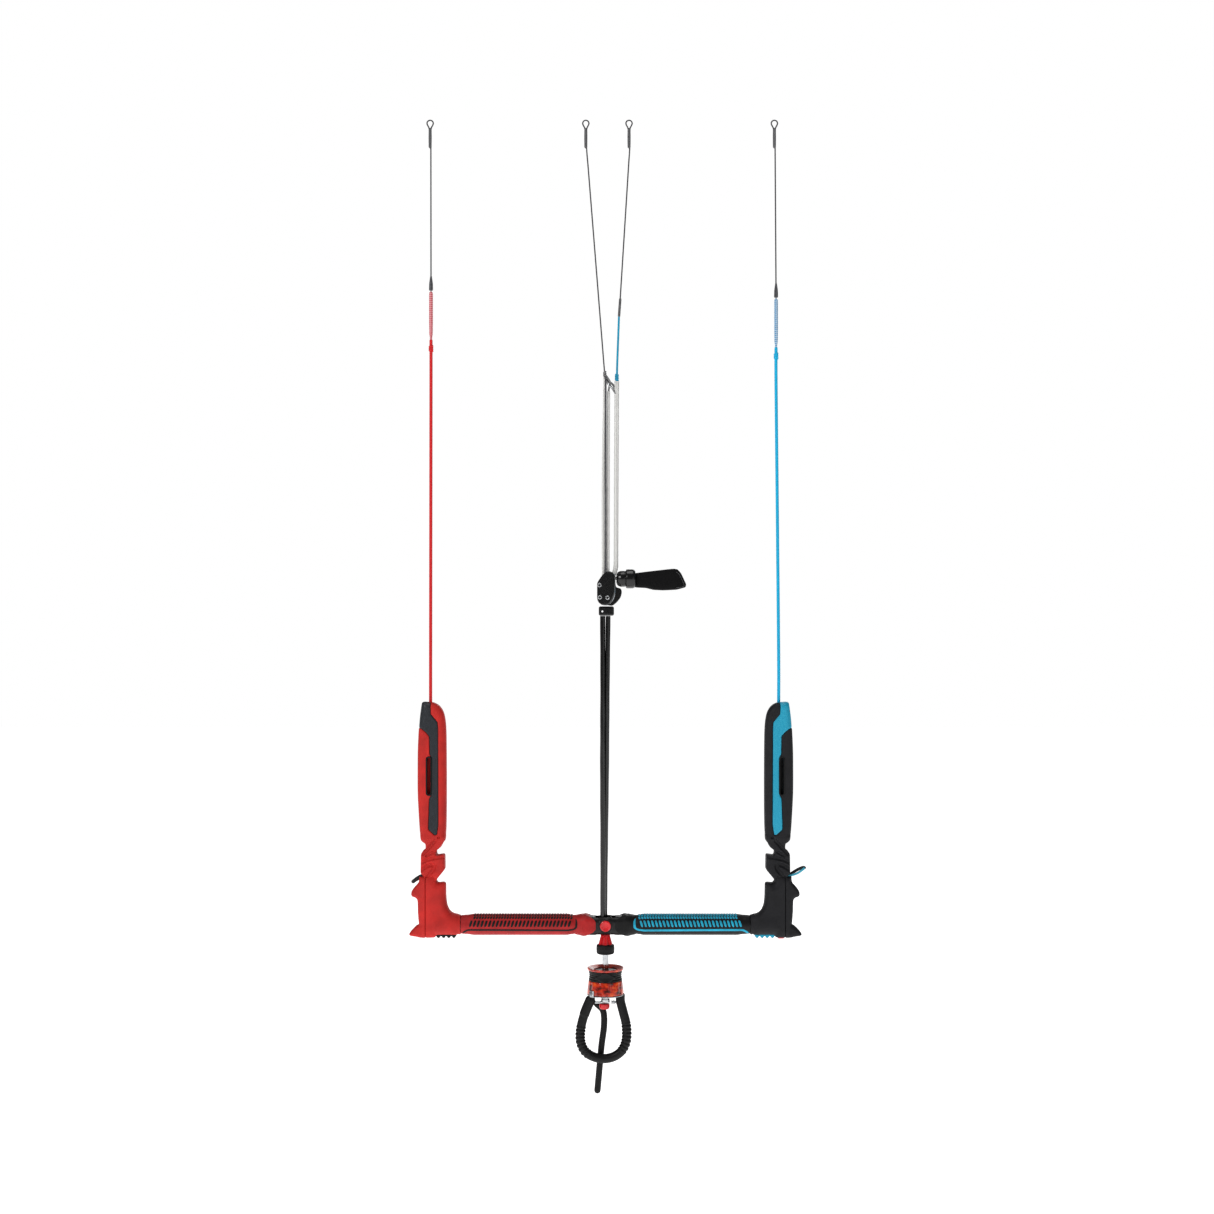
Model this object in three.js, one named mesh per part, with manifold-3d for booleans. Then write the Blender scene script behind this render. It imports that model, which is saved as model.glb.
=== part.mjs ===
// Control bar of a kitesurf kite: grips, winder ends, floats, lines, trim cleat and chicken loop.
// Millimetres. +X runs along the bar to the rider's right, +Y away from the rider, +Z up the lines.
// The origin lies between the sewn loops at the top of the two front lines, which hold the bar up.
// Shapes are laid out from the bar's axis; the whole assembly then hangs LINE_TOP below the loops.
// "Reach" is the distance from the middle of the bar, so one outline serves both ends.
import * as THREE from 'three';
import { mergeVertices } from 'three/addons/utils/BufferGeometryUtils.js';
import Module from 'manifold-3d';

const wasm = await Module();
wasm.setup();

// ---- driving dimensions -------------------------------------------------------------------
const LINE_TOP = 1022; // bar axis up to the top of the line loops
const GAP = 0.3; // clearance between pieces that touch on the real bar
const CUT = 60; // length of a cutter that has to pass right through a piece

const GRIP_RADIUS = 13.3;
const TUBE_RADIUS = 9.5;
const TUBE_WALL = 2;
const TUBE_REACH = 222; // where the bar tube ends inside the winder end
const HUB_REACH = 25.7;
const COLLAR_REACH = 183.5; // seam between the grip and the winder end
const COLLAR_END = 206; // the collar runs on this far into the winder end
const COLLAR_RADIUS = 11.6;

const END_DEPTH = 26;
const FLOAT_DEPTH = 24;
const NECK_DEPTH = 20;
const SEAM_REACH = 227.7; // joint between the winder end and its line winder
const FLEX = { reach: 219, height: 70, radius: 8 }; // the point the float's neck bends about
const FLOAT_TOP = 283.5;

const FLYING_LINE_RADIUS = 0.85;
const LEADER_RADIUS = 2;
const CHANNEL_RADIUS = 2.4; // bore through the float for the leader line
const DEPOWER_RADIUS = 3.3;
const SAFETY_RADIUS = 3.1;
const TRIM_ROPE_RADIUS = 1.9;

const SHAFT_RADIUS = 4;
const SHAFT_FOOT = -78;
const LOOP_RADIUS = 5.8;
const STICK_RADIUS = 4;
const LOOP_PIVOT = { x: -19.3, z: -96 };
const PIN_HEIGHT = -99;

// How far out each back line runs at the float, at its knot and at its top loop.
const BACK_LINES = {
  left: { foot: 222, knot: 221.5, head: 222.6, knotTop: 736, sleeveTop: 804.3, tipTop: 823.3 },
  right: { foot: 220, knot: 216.7, head: 214.6, knotTop: 726.4, sleeveTop: 795.4, tipTop: 814.4 },
};

const LOOKS = {
  redFoam: { color: 0xc23a34, roughness: 0.75, metalness: 0 },
  blackFoam: { color: 0x1b1c1e, roughness: 0.75, metalness: 0 },
  blackInsert: { color: 0x22252a, roughness: 0.6, metalness: 0 },
  tealInsert: { color: 0x1aa6c4, roughness: 0.6, metalness: 0 },
  redRubber: { color: 0xb02c2b, roughness: 0.6, metalness: 0 },
  blackRubber: { color: 0x161719, roughness: 0.6, metalness: 0 },
  redPlastic: { color: 0xc4161c, roughness: 0.35, metalness: 0 },
  blackPlastic: { color: 0x0e0e10, roughness: 0.4, metalness: 0 },
  clearRed: { color: 0xb5281b, roughness: 0.2, metalness: 0 },
  steel: { color: 0xb9bbbd, roughness: 0.25, metalness: 1 },
  carbon: { color: 0x202022, roughness: 0.35, metalness: 0 },
  redRope: { color: 0xd8232a, roughness: 0.8, metalness: 0 },
  blueRope: { color: 0x12a7d8, roughness: 0.8, metalness: 0 },
  blackRope: { color: 0x141414, roughness: 0.8, metalness: 0 },
  whiteRope: { color: 0xd8d8d4, roughness: 0.8, metalness: 0 },
  redSleeve: { color: 0xc96a72, roughness: 0.8, metalness: 0 },
  blueSleeve: { color: 0x7fb2d6, roughness: 0.8, metalness: 0 },
  webbing: { color: 0x101012, roughness: 0.85, metalness: 0 },
};

// ---- solid helpers ------------------------------------------------------------------------

/** Share the vertices, drop collapsed triangles and turn every face outwards. */
function closed(geometry) {
  geometry.deleteAttribute('normal');
  geometry.deleteAttribute('uv');
  const merged = mergeVertices(geometry, 1e-4);
  const position = merged.attributes.position;
  const corner = [new THREE.Vector3(), new THREE.Vector3(), new THREE.Vector3()];
  const kept = [];
  let volume = 0;
  for (let i = 0; i < merged.index.count; i += 3) {
    const [a, b, c] = [0, 1, 2].map((k) => merged.index.getX(i + k));
    if (a === b || b === c || c === a) continue;
    kept.push(a, b, c);
    [a, b, c].forEach((vertex, k) => corner[k].fromBufferAttribute(position, vertex));
    volume += corner[0].dot(corner[1].clone().cross(corner[2]));
  }
  if (volume < 0) {
    for (let i = 0; i < kept.length; i += 3) {
      [kept[i + 1], kept[i + 2]] = [kept[i + 2], kept[i + 1]];
    }
  }
  merged.setIndex(kept);
  return merged;
}

function toManifold(geometry) {
  const mesh = closed(geometry);
  return new wasm.Manifold(new wasm.Mesh({
    numProp: 3,
    vertProperties: mesh.attributes.position.array,
    triVerts: new Uint32Array(mesh.index.array),
  }));
}

function toGeometry(manifold) {
  const mesh = manifold.getMesh();
  const geometry = new THREE.BufferGeometry();
  geometry.setAttribute('position', new THREE.BufferAttribute(mesh.vertProperties, 3));
  geometry.setIndex(Array.from(mesh.triVerts));
  return geometry;
}

function join(first, ...others) {
  const start = toManifold(first);
  return toGeometry(others.reduce((whole, other) => whole.add(toManifold(other)), start));
}

function cut(body, ...tools) {
  const start = toManifold(body);
  return toGeometry(tools.reduce((whole, tool) => whole.subtract(toManifold(tool)), start));
}

/** A block between two opposite corners. */
function block(low, high) {
  const size = high.map((value, k) => value - low[k]);
  const geometry = new THREE.BoxGeometry(...size);
  return geometry.translate(...low.map((value, k) => value + size[k] / 2));
}

/** A round bar between two points; the far end may have its own radius. */
function rod(from, to, radius, sides = 16, farRadius = radius) {
  const start = new THREE.Vector3(...from);
  const span = new THREE.Vector3(...to).sub(start);
  const geometry = new THREE.CylinderGeometry(farRadius, radius, span.length(), sides);
  const turn = new THREE.Quaternion().setFromUnitVectors(
    new THREE.Vector3(0, 1, 0),
    span.clone().normalize(),
  );
  geometry.applyQuaternion(turn);
  return geometry.translate(...start.addScaledVector(span, 0.5));
}

/** A plate with an outline in the XZ plane, centred on a given Y, with its edges bevelled. */
function plate(outline, depth, bevel = 0, middle = 0) {
  const shape = new THREE.Shape(outline.map(([x, z]) => new THREE.Vector2(x, z)));
  const geometry = new THREE.ExtrudeGeometry(shape, {
    depth: depth - 2 * bevel,
    bevelEnabled: bevel > 0,
    bevelSize: bevel,
    bevelOffset: -bevel,
    bevelThickness: bevel,
    bevelSegments: 2,
  });
  return geometry.rotateX(Math.PI / 2).translate(0, middle + depth / 2 - bevel, 0);
}

/** A plate whose outline is given by reach, on one side of the bar. */
function sidePlate(side, outline, depth, bevel = 0) {
  return plate(outline.map(([reach, z]) => [side * reach, z]), depth, bevel);
}

/** A turned piece about a vertical axis; the profile is [radius, height]. */
function turned(profile, segments = 28) {
  const points = profile.map(([radius, height]) => new THREE.Vector2(radius, height));
  return new THREE.LatheGeometry(points, segments).rotateX(Math.PI / 2);
}

/** A turned piece about the bar's axis; the profile is [radius, reach]. */
function turnedAlongBar(side, profile, segments = 24) {
  const points = profile.map(([radius, reach]) => new THREE.Vector2(radius, side * reach));
  return new THREE.LatheGeometry(points, segments).rotateZ(-Math.PI / 2);
}

/** A tube of constant radius along a smooth path. */
function tube(points, radius, steps, sides = 8) {
  const path = new THREE.CatmullRomCurve3(points.map((point) => new THREE.Vector3(...point)));
  const section = new THREE.Shape();
  for (let k = 0; k < sides; k += 1) {
    const angle = (2 * Math.PI * k) / sides;
    const [across, up] = [radius * Math.cos(angle), radius * Math.sin(angle)];
    if (k === 0) section.moveTo(across, up);
    else section.lineTo(across, up);
  }
  return new THREE.ExtrudeGeometry(section, { steps, extrudePath: path, bevelEnabled: false });
}

// ---- lines --------------------------------------------------------------------------------

/** A flying line that ends at the top in a small sewn loop. */
function flyingLine(foot, headX) {
  const [eyeRadius, sewnLength, sewnRadius] = [4, 26, 1.5];
  const eyeCentre = LINE_TOP - eyeRadius - FLYING_LINE_RADIUS;
  const throat = [headX, 0, eyeCentre - eyeRadius];
  const eye = new THREE.TorusGeometry(eyeRadius, FLYING_LINE_RADIUS, 6, 12);
  return join(
    rod(foot, throat, FLYING_LINE_RADIUS, 8),
    rod([headX, 0, throat[2] - sewnLength], throat, sewnRadius, 8),
    eye.rotateX(Math.PI / 2).translate(headX, 0, eyeCentre),
  );
}

function frontLineLeft() {
  const knotTop = 702.5;
  return join(
    flyingLine([-0.8, 0, knotTop - 1], -24.9),
    rod([-0.8, 0, 695.3], [-0.8, 0, knotTop], 2.2, 10),
  );
}

function frontLineRight() {
  return join(
    flyingLine([18.8, 0, 793], 30),
    rod([17.3, 0, 772.4], [18.8, 0, 793.7], 1.6, 10),
  );
}

function safetyLeader() {
  return join(
    rod([14.5, 0, 697], [17.2, 0, 771.9], 1.3, 8),
    rod([14.4, 0, 690], [14.5, 0, 698.9], 2.6, 10),
  );
}

function trimRing() {
  const ring = new THREE.TorusGeometry(5, 1.2, 8, 20);
  return ring.rotateX(Math.PI / 2).rotateZ(Math.PI / 4).translate(7.2, 0, 685);
}

function leaderLine(side, line) {
  return join(
    rod([side * line.foot, 0, 166], [side * line.foot, 0, FLOAT_TOP + 1], LEADER_RADIUS, 8),
    rod([side * line.foot, 0, FLOAT_TOP], [side * line.knot, 0, line.knotTop - 2], LEADER_RADIUS, 8),
    rod([side * line.knot, 0, line.knotTop - 9.5], [side * line.knot, 0, line.knotTop], 3.1, 10),
  );
}

function pigtailSleeve(side, line) {
  return join(
    rod([side * line.knot, 0, line.knotTop + GAP], [side * line.knot, 0, line.knotTop + 14], 1.5, 8),
    rod([side * line.knot, 0, line.knotTop + 11], [side * line.knot, 0, line.sleeveTop], 2.4, 10),
  );
}

function backLine(side, line) {
  const foot = [side * line.knot, 0, line.sleeveTop + GAP];
  const tip = [side * line.knot, 0, line.tipTop];
  return join(
    flyingLine([side * line.knot, 0, line.sleeveTop + 1], side * line.head),
    rod(foot, tip, 2.6, 10, 1.1),
  );
}

// ---- trim cleat and centre line ------------------------------------------------------------

const CLEAT_OUTLINE = [
  [4.8, 448.6], [11.2, 443.1], [11.2, 420.1], [3.6, 406.5],
  [-6.7, 406.9], [-10.5, 413.4], [-10.5, 433.7], [-5, 442.2],
];
const CLEAT_FRAME_OUTLINE = [
  [4.8, 447.6], [12.4, 442.6], [12.4, 419], [4.2, 405.3],
  [-6.2, 407.5], [-9.8, 413.6], [-9.8, 433.3], [-4.8, 441.4],
];
const CLEAT_BACK_OUTLINE = [
  [4.8, 448.6], [11.2, 443.1], [12.6, 427], [20.6, 426], [20.6, 416],
  [9, 404.4], [-6.7, 406.9], [-10.5, 413.4], [-10.5, 433.7], [-5, 442.2],
];
const CLEAT_RIVETS = [[-7.4, 430.8], [-7, 415.4], [2.7, 414.9]];
const RIVET_RADIUS = 2.3;

function cleatRivet([x, z], radius = RIVET_RADIUS, reach = 9.8) {
  return rod([x, -reach, z], [x, reach, z], radius, 12);
}

function cleatLayer(outline, depth, middle) {
  const holes = CLEAT_RIVETS.map((place) => cleatRivet(place, RIVET_RADIUS + GAP, CUT / 2));
  return cut(plate(outline, depth, 0, middle), ...holes);
}

function depowerCollar() {
  const outline = [
    [-7.2, 403.8], [9.4, 403.8], [10.8, 401.8], [10.8, 394.4],
    [9.2, 392], [-6.8, 392], [-8.4, 394.4], [-8.4, 401.8],
  ];
  return cut(plate(outline, 15, 2), rod([-3.9, -CUT / 2, 397.4], [-3.9, CUT / 2, 397.4], 1.2, 10));
}

function stopperBall() {
  const profile = [
    [0, 13.9], [6.5, 13.9], [9.2, 16], [10.2, 20], [10.2, 25.4], [12.3, 26.2],
    [12.3, 35.6], [9.4, 38.2], [0, 38.2],
  ];
  return turnedAlongBar(1, profile, 20).translate(0, 0, 438.8);
}

function trimHandle() {
  const outline = [
    [38.8, 445.6], [86.9, 452.5], [91.9, 451.8], [103.6, 431.2], [102.6, 428.2],
    [91, 424], [61.3, 423.2], [51.2, 426.2], [38.8, 428.2],
  ];
  return plate(outline, 13, 3);
}

// ---- bar ------------------------------------------------------------------------------------

const INSERT_RADIUS = 11.5;
const SLOT_HALF_WIDTH = 12.5;
const SLOT_HALF_DEPTH = 9;
const TRUNNION_RADIUS = 3.6;
const HUB_HALF_DEPTH = 13.2;

/** The barrel that slides on the centre line and lets the bar rock. */
function hubInsert() {
  const half = SLOT_HALF_DEPTH - GAP;
  const barrel = join(
    rod([0, -half, 0], [0, half, 0], INSERT_RADIUS, 24),
    rod([0, -HUB_HALF_DEPTH, 0], [0, HUB_HALF_DEPTH, 0], TRUNNION_RADIUS, 14),
  );
  return cut(barrel, rod([0, 0, -CUT / 2], [0, 0, CUT / 2], 7.5, 20));
}

function barHub() {
  const half = [[0, 12.6], [4, 12.4], [15, 10.6], [HUB_REACH, 12.4], [HUB_REACH, -13.2], [0, -13.2]];
  const mirrored = half.slice(1, -1).reverse().map(([x, z]) => [-x, z]);
  const spigotReach = 44;
  const spigotRadius = TUBE_RADIUS - TUBE_WALL - GAP;
  const body = join(
    plate([...half, ...mirrored], 2 * HUB_HALF_DEPTH, 3),
    rod([-spigotReach, 0, 0], [spigotReach, 0, 0], spigotRadius, 16),
  );
  return cut(
    body,
    block([-SLOT_HALF_WIDTH, -SLOT_HALF_DEPTH, -CUT], [SLOT_HALF_WIDTH, SLOT_HALF_DEPTH, CUT]),
    rod([0, -CUT / 2, 0], [0, CUT / 2, 0], TRUNNION_RADIUS + GAP, 14),
  );
}

/** The round cap over the end of the trunnion, on the rider's side (-1) or the far side (+1). */
function hubCap(face) {
  const inner = face * (HUB_HALF_DEPTH + GAP);
  return join(
    rod([0, inner, 0], [0, inner + face * 1.4, 0], 6.9, 24),
    rod([0, inner + face * 1.3, 0], [0, inner + face * 2.2, 0], 6.9, 24, 5.4),
  );
}

function barTube(side) {
  const [inner, start] = [TUBE_RADIUS - TUBE_WALL, HUB_REACH + GAP];
  return turnedAlongBar(side, [
    [inner, start], [TUBE_RADIUS, start], [TUBE_RADIUS, TUBE_REACH], [inner, TUBE_REACH],
    [inner, start],
  ]);
}

function grip(side) {
  const [bore, start, end] = [TUBE_RADIUS + GAP, HUB_REACH + GAP, COLLAR_REACH - GAP];
  return turnedAlongBar(side, [
    [bore, start], [12.9, start], [12.2, 30], [11.3, 36], [12.4, 42], [GRIP_RADIUS, 48],
    [GRIP_RADIUS, 168], [12.2, 176], [11.6, end], [bore, end], [bore, start],
  ]);
}

// ---- winder ends ------------------------------------------------------------------------------

const END_OUTLINE = [
  [188, -11.4], [190, 11.8], [193, 12.2], [196, 15.6], [199.8, 20.7], [201.5, 27],
  [202.3, 34], [202.3, 52], [204, 54], [212, 54], [211, 64],
  [SEAM_REACH - GAP, 64], [SEAM_REACH - GAP, -14.8], [205, -14],
];
const WINDER_OUTLINE = [
  [SEAM_REACH, 58.5], [243.1, 45.6], [246.2, 38.4], [244.6, 36], [239.8, 34.7], [237.7, 31.9],
  [237.7, 23.7], [236.8, 12.5], [234.9, -0.5], [239.8, -1.4], [245.5, -7], [249.2, -11.4],
  [247.9, -13.1], [231.6, -15.9], [SEAM_REACH, -15.5],
];
const TAB = { start: 188.7, end: 216.3, top: -11.4, foot: -15.1, halfWidth: 6.5 };
const LOCK_BUTTON = { start: 218.5, end: 226.6, top: -12.6, foot: -15.6, halfWidth: 4 };

function barEnd(side) {
  const boreEnd = TUBE_REACH + 2;
  const pocketStart = COLLAR_REACH - 3;
  const tabPocket = block(
    [Math.min(side * pocketStart, side * (TAB.end + GAP)), -TAB.halfWidth - GAP, -CUT],
    [Math.max(side * pocketStart, side * (TAB.end + GAP)), TAB.halfWidth + GAP, TAB.top + GAP],
  );
  const shell = join(
    sidePlate(side, END_OUTLINE, END_DEPTH, 3),
    rod([side * COLLAR_REACH, 0, 0], [side * COLLAR_END, 0, 0], COLLAR_RADIUS, 24),
  );
  const tools = [
    rod([side * (COLLAR_REACH - CUT), 0, 0], [side * boreEnd, 0, 0], TUBE_RADIUS + GAP, 24),
    rod(
      [side * FLEX.reach, -CUT, FLEX.height],
      [side * FLEX.reach, CUT, FLEX.height],
      FLEX.radius + 0.4,
      28,
    ),
    tabPocket,
  ];
  if (side > 0) tools.push(lockButton(GAP));
  return cut(shell, ...tools);
}

function lineWinder(side) {
  return sidePlate(side, WINDER_OUTLINE, END_DEPTH - 4, 0.6);
}

/** The ribbed tab under the end that frees it to slide in and out. */
function widthTab(side) {
  const slab = block(
    [Math.min(side * TAB.start, side * TAB.end), -TAB.halfWidth, TAB.foot],
    [Math.max(side * TAB.start, side * TAB.end), TAB.halfWidth, TAB.top],
  );
  const ribs = [192, 198.5, 205, 211.5].map((reach) => rod(
    [side * reach, -TAB.halfWidth, TAB.foot],
    [side * reach, TAB.halfWidth, TAB.foot],
    2.2,
    10,
  ));
  return join(slab, ...ribs);
}

function lockButton(grow = 0) {
  const { start, end, top, foot, halfWidth } = LOCK_BUTTON;
  return block(
    [start - grow, -halfWidth - grow, foot - (grow > 0 ? CUT : 0)],
    [end + grow, halfWidth + grow, top + grow],
  );
}

// Each elastic loop leaves the outer side of the end, swings out over the horn and comes back.
const BUNGEES = {
  left: [
    [-228.8, -2.6, 62.6], [-234, -2.8, 61.6], [-240, -2.4, 58], [-244.4, -0.6, 54.6],
    [-243.4, 1.4, 53.6], [-239, 2.4, 55], [-233.6, 2.6, 57.6], [-228.8, 2.4, 60.4],
  ],
  right: [
    [228.8, -2.6, 63], [235, -3, 62.8], [244, -2.8, 66.4], [252, -1.4, 71.8],
    [253.4, 0.6, 72.4], [248, 2.2, 71.4], [240, 3, 67], [234.6, 3, 61.4], [228.8, 2.4, 60.6],
  ],
};
const BUNGEE_RADIUS = 1.4;

// ---- floats -------------------------------------------------------------------------------------

const FLOAT_OUTLINE = [
  [203.6, 107], [202.3, 120], [201.8, 170], [201.8, 209], [202.3, 247], [204.8, 264.5],
  [207.4, 272.2], [211.5, 278.4], [220.1, 282.2], [232.8, 283.2], [234, 272], [235.3, 264.5],
  [236.6, 246.8], [237.9, 208.7], [237.9, 170.6], [235.3, 119.8], [233.6, 107],
];
const NECK_OUTLINE = [
  [204, 112], [204.6, 104], [208, 99.5], [214.5, 94], [213.8, 88.4], [203.8, 88.4], [203.8, 76],
  [211, 70.5], [227, 70.5], [233.8, 75], [233.8, 91], [231.6, 94.4], [227.4, 96.6], [227.6, 103.6],
  [231, 105.4], [232, 112],
];
const INSERT_OUTLINE = [
  [232, 284.2], [221.4, 282.4], [221, 267.8], [212.3, 257.4], [211.7, 250], [211.3, 127.6],
  [213.1, 114.9], [216.2, 114.6], [223.8, 121.4], [224, 125], [222.8, 160.7], [220.6, 164.8],
  [220.3, 212.7], [222.4, 216.9], [222.8, 239.5], [227.6, 245.1], [233.7, 249.6],
  [240, 250.5], [240, 284.2],
];
const SLOT = { inner: 220.3, outer: 226.2, low: 165, high: 213.4 };

/** The float's full outer form, before the insert and the line channel are cut out. */
function floatForm(side) {
  return sidePlate(side, FLOAT_OUTLINE, FLOAT_DEPTH, 4);
}

function lineChannel(side, line) {
  const [low, high] = [SLOT.low - 1.5, FLOAT_TOP + CUT];
  return rod([side * line.foot, 0, low], [side * line.foot, 0, high], CHANNEL_RADIUS, 12);
}

/** Move every corner of an outline inwards by the same distance, measured square to its edges. */
function inset(outline, distance) {
  const points = outline.map(([x, z]) => new THREE.Vector2(x, z));
  const inwards = Math.sign(THREE.ShapeUtils.area(points));
  const normal = (from, to) => {
    const along = to.clone().sub(from).normalize();
    return new THREE.Vector2(-along.y, along.x).multiplyScalar(inwards);
  };
  return points.map((point, k) => {
    const before = normal(points.at(k - 1), point);
    const after = normal(point, points[(k + 1) % points.length]);
    const reach = distance / (1 + before.dot(after));
    return point.clone().addScaledVector(before.add(after), reach).toArray();
  });
}

function floatInsertPrism(side, clearance) {
  return sidePlate(side, inset(INSERT_OUTLINE, clearance), CUT);
}

function floatShell(side, line) {
  const [near, far] = [side * SLOT.inner, side * SLOT.outer].sort((a, b) => a - b);
  const solid = join(
    floatForm(side),
    sidePlate(side, NECK_OUTLINE, NECK_DEPTH, 1.5),
    rod(
      [side * FLEX.reach, -NECK_DEPTH / 2, FLEX.height],
      [side * FLEX.reach, NECK_DEPTH / 2, FLEX.height],
      FLEX.radius,
      28,
    ),
  );
  return cut(
    solid,
    floatInsertPrism(side, 0),
    block([near, -CUT, SLOT.low], [far, CUT, SLOT.high]),
    lineChannel(side, line),
  );
}

function floatInsert(side, line) {
  const form = toManifold(floatForm(side)).intersect(toManifold(floatInsertPrism(side, GAP)));
  return cut(toGeometry(form), lineChannel(side, line));
}

// ---- swivel, quick release and chicken loop --------------------------------------------------------

const PLATE_TOP = -88;
const PLATE_FOOT = -89.4;

function bumperCone() {
  return turned([
    [0, -12.3], [5.7, -12.3], [6.4, -16], [9.8, -28.2], [9.8, -30],
    [SHAFT_RADIUS + GAP, -30], [SHAFT_RADIUS + GAP, -15], [0, -15],
  ], 24);
}

function bumperRing() {
  const bore = SHAFT_RADIUS + GAP;
  return turned([
    [10.2, -25.4], [11.2, -26.6], [11.5, -31], [11.2, -35.6], [10, -37.3],
    [bore, -37.3], [bore, -30.4], [10.2, -30.4], [10.2, -25.4],
  ], 24);
}

function releaseCore() {
  const [bore, stem, cap] = [SHAFT_RADIUS + GAP, 8.5, 14.2];
  return turned([
    [bore, -58], [cap, -58], [cap, -60], [stem, -60], [stem, PLATE_TOP + GAP],
    [0, PLATE_TOP + GAP], [0, SHAFT_FOOT - 1], [bore, SHAFT_FOOT - 1], [bore, -58],
  ]);
}

function cradlePlate() {
  return turned([[0, PLATE_TOP], [23.2, PLATE_TOP], [23.2, PLATE_FOOT], [0, PLATE_FOOT]], 32);
}

function cradleRivet() {
  return rod([-17, -19, -84.2], [-17, -14.2, -84.2], 3.4, 14);
}

/** The sleeve that is pushed up to let the loop go; it has a ledge that the spring bears on. */
function releaseSleeve() {
  const body = turned([
    [14.8, -57], [20, -55.2], [23.2, -54.2], [22.6, -57.2], [18.2, -58.4], [18.2, -69.6],
    [21.4, -71], [23.2, -82], [23.5, -87.5], [20, -87.5], [20, -83], [9, -83], [9, -80],
    [14.8, -80], [14.8, -57],
  ], 32);
  return cut(body, block([-21.2, -40, -CUT * 2], [-12.8, -13.4, -80.2]));
}

function sleeveGrip() {
  return turned([
    [18.5, -58.8], [21.6, -58], [20.4, -62], [20.1, -66], [21.2, -70.4], [18.5, -69.3],
    [18.5, -58.8],
  ], 32);
}

function releaseSpring() {
  return turned([[9.4, -60.4], [13.6, -60.4], [13.6, -79.6], [9.4, -79.6], [9.4, -60.4]], 16);
}

/** The steel arm under the cradle that carries the hinge of the gate pin. */
function gateArm() {
  return join(
    rod([0, 0, PLATE_FOOT - GAP], [0, 0, -98], 5.6, 20),
    block([-13.6, -3, -100.2], [5.4, 3, -97.6]),
  );
}

function releasePlug() {
  return rod([-1.2, 0, -107.6], [-1.2, 0, -100.5], 6.6, 20);
}

function gatePin() {
  const collar = rod([7.4, 0, PIN_HEIGHT], [12.2, 0, PIN_HEIGHT], 2.4, 12);
  return join(collar, rod([12, 0, PIN_HEIGHT], [24.3, 0, PIN_HEIGHT], 1.5, 10, 0.8));
}

const LOOP_ROUTE = [
  [LOOP_PIVOT.x, 0, LOOP_PIVOT.z], [-25.7, 0, -111.4], [-30.2, 0, -126.6], [-32, 0, -141.9],
  [-30.2, 0, -153.3], [-24.5, 0, -162.6], [-14, 0, -168.6], [-2.5, 0, -170.6], [9, 0, -168.6],
  [18.8, 0, -162.6], [24.7, 0, -153.3], [27, 0, -141.9], [26.3, 0, -126.6], [22.6, 0, -111.4],
  [19.2, 0, -98], [19, 0, -90.6],
];
const HOOK_SEAT = { x: -2.5, z: -165.6, halfLength: 6 };

/** The loop that hooks onto the harness, with a flat seat at its lowest inner point. */
function chickenLoop() {
  const pinSlot = block([0, -2, PIN_HEIGHT - 2], [CUT, 2, 0]);
  const seat = block(
    [HOOK_SEAT.x - HOOK_SEAT.halfLength, -CUT, HOOK_SEAT.z],
    [HOOK_SEAT.x + HOOK_SEAT.halfLength, CUT, HOOK_SEAT.z + 8],
  );
  const root = new THREE.SphereGeometry(LOOP_RADIUS, 14, 8);
  const ring = join(
    tube(LOOP_ROUTE, LOOP_RADIUS, 36, 12),
    root.translate(LOOP_PIVOT.x, 0, LOOP_PIVOT.z),
  );
  return cut(ring, pinSlot, seat);
}

const STICK_ROUTE = [
  [-15.4, 8.6, -100.4], [-9.5, 11, -104.8], [-3.6, 11.3, -111], [-1.7, 11.3, -120],
  [-2, 11.3, -134], [-4.8, 11.3, -155], [-6.8, 11.3, -176], [-9.2, 11.2, -203], [-10.2, 11, -213.6],
];

function chickenStick() {
  const tip = new THREE.SphereGeometry(STICK_RADIUS, 10, 8);
  return join(tube(STICK_ROUTE, STICK_RADIUS, 20, 10), tip.translate(...STICK_ROUTE.at(-1)));
}

// ---- assembly ------------------------------------------------------------------------------------

const controlBar = new THREE.Group();
controlBar.position.z = -LINE_TOP;

function place(name, geometry, look) {
  const mesh = new THREE.Mesh(closed(geometry), new THREE.MeshStandardMaterial(LOOKS[look]));
  mesh.name = name;
  controlBar.add(mesh);
}

place('front_line_left', frontLineLeft(), 'blackRope');
place('front_line_right', frontLineRight(), 'blackRope');
place('safety_leader', safetyLeader(), 'blueRope');
place('trim_ring', trimRing(), 'steel');

const trimFoot = 449.2;
place('trim_line_left', rod([-2.6, 0, trimFoot], [-2.6, 0, 694.9], TRIM_ROPE_RADIUS, 8), 'whiteRope');
place('trim_line_middle', rod([3.4, 0, trimFoot], [3.4, 0, 677], TRIM_ROPE_RADIUS, 8), 'whiteRope');
place('trim_line_right', rod([13.2, 0, trimFoot], [14.4, 0, 689.6], 3, 8), 'whiteRope');
place('safety_line', rod([0.4, -3.4, trimFoot], [0.4, -3.4, 694.9], 1.1, 8), 'blackRope');

place('cleat_plate_front', cleatLayer(CLEAT_OUTLINE, 3, -7.6), 'blackPlastic');
place('cleat_frame', cleatLayer(CLEAT_FRAME_OUTLINE, 11.4, 0), 'steel');
place('cleat_plate_back', cleatLayer(CLEAT_BACK_OUTLINE, 3, 7.6), 'blackPlastic');
CLEAT_RIVETS.forEach((spot, k) => place(`cleat_rivet_${k + 1}`, cleatRivet(spot), 'steel'));
place('depower_collar', depowerCollar(), 'blackPlastic');
place('depower_line', rod([-3.5, 0, -11.9], [-3.5, 0, 391.6], DEPOWER_RADIUS, 12), 'blackPlastic');
place('safety_tube', rod([3.4, 0, -11.9], [3.4, 0, 391.6], SAFETY_RADIUS, 12), 'blackPlastic');
place('bumper_cone', bumperCone(), 'redPlastic');
place('bumper_ring', bumperRing(), 'blackRubber');
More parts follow.
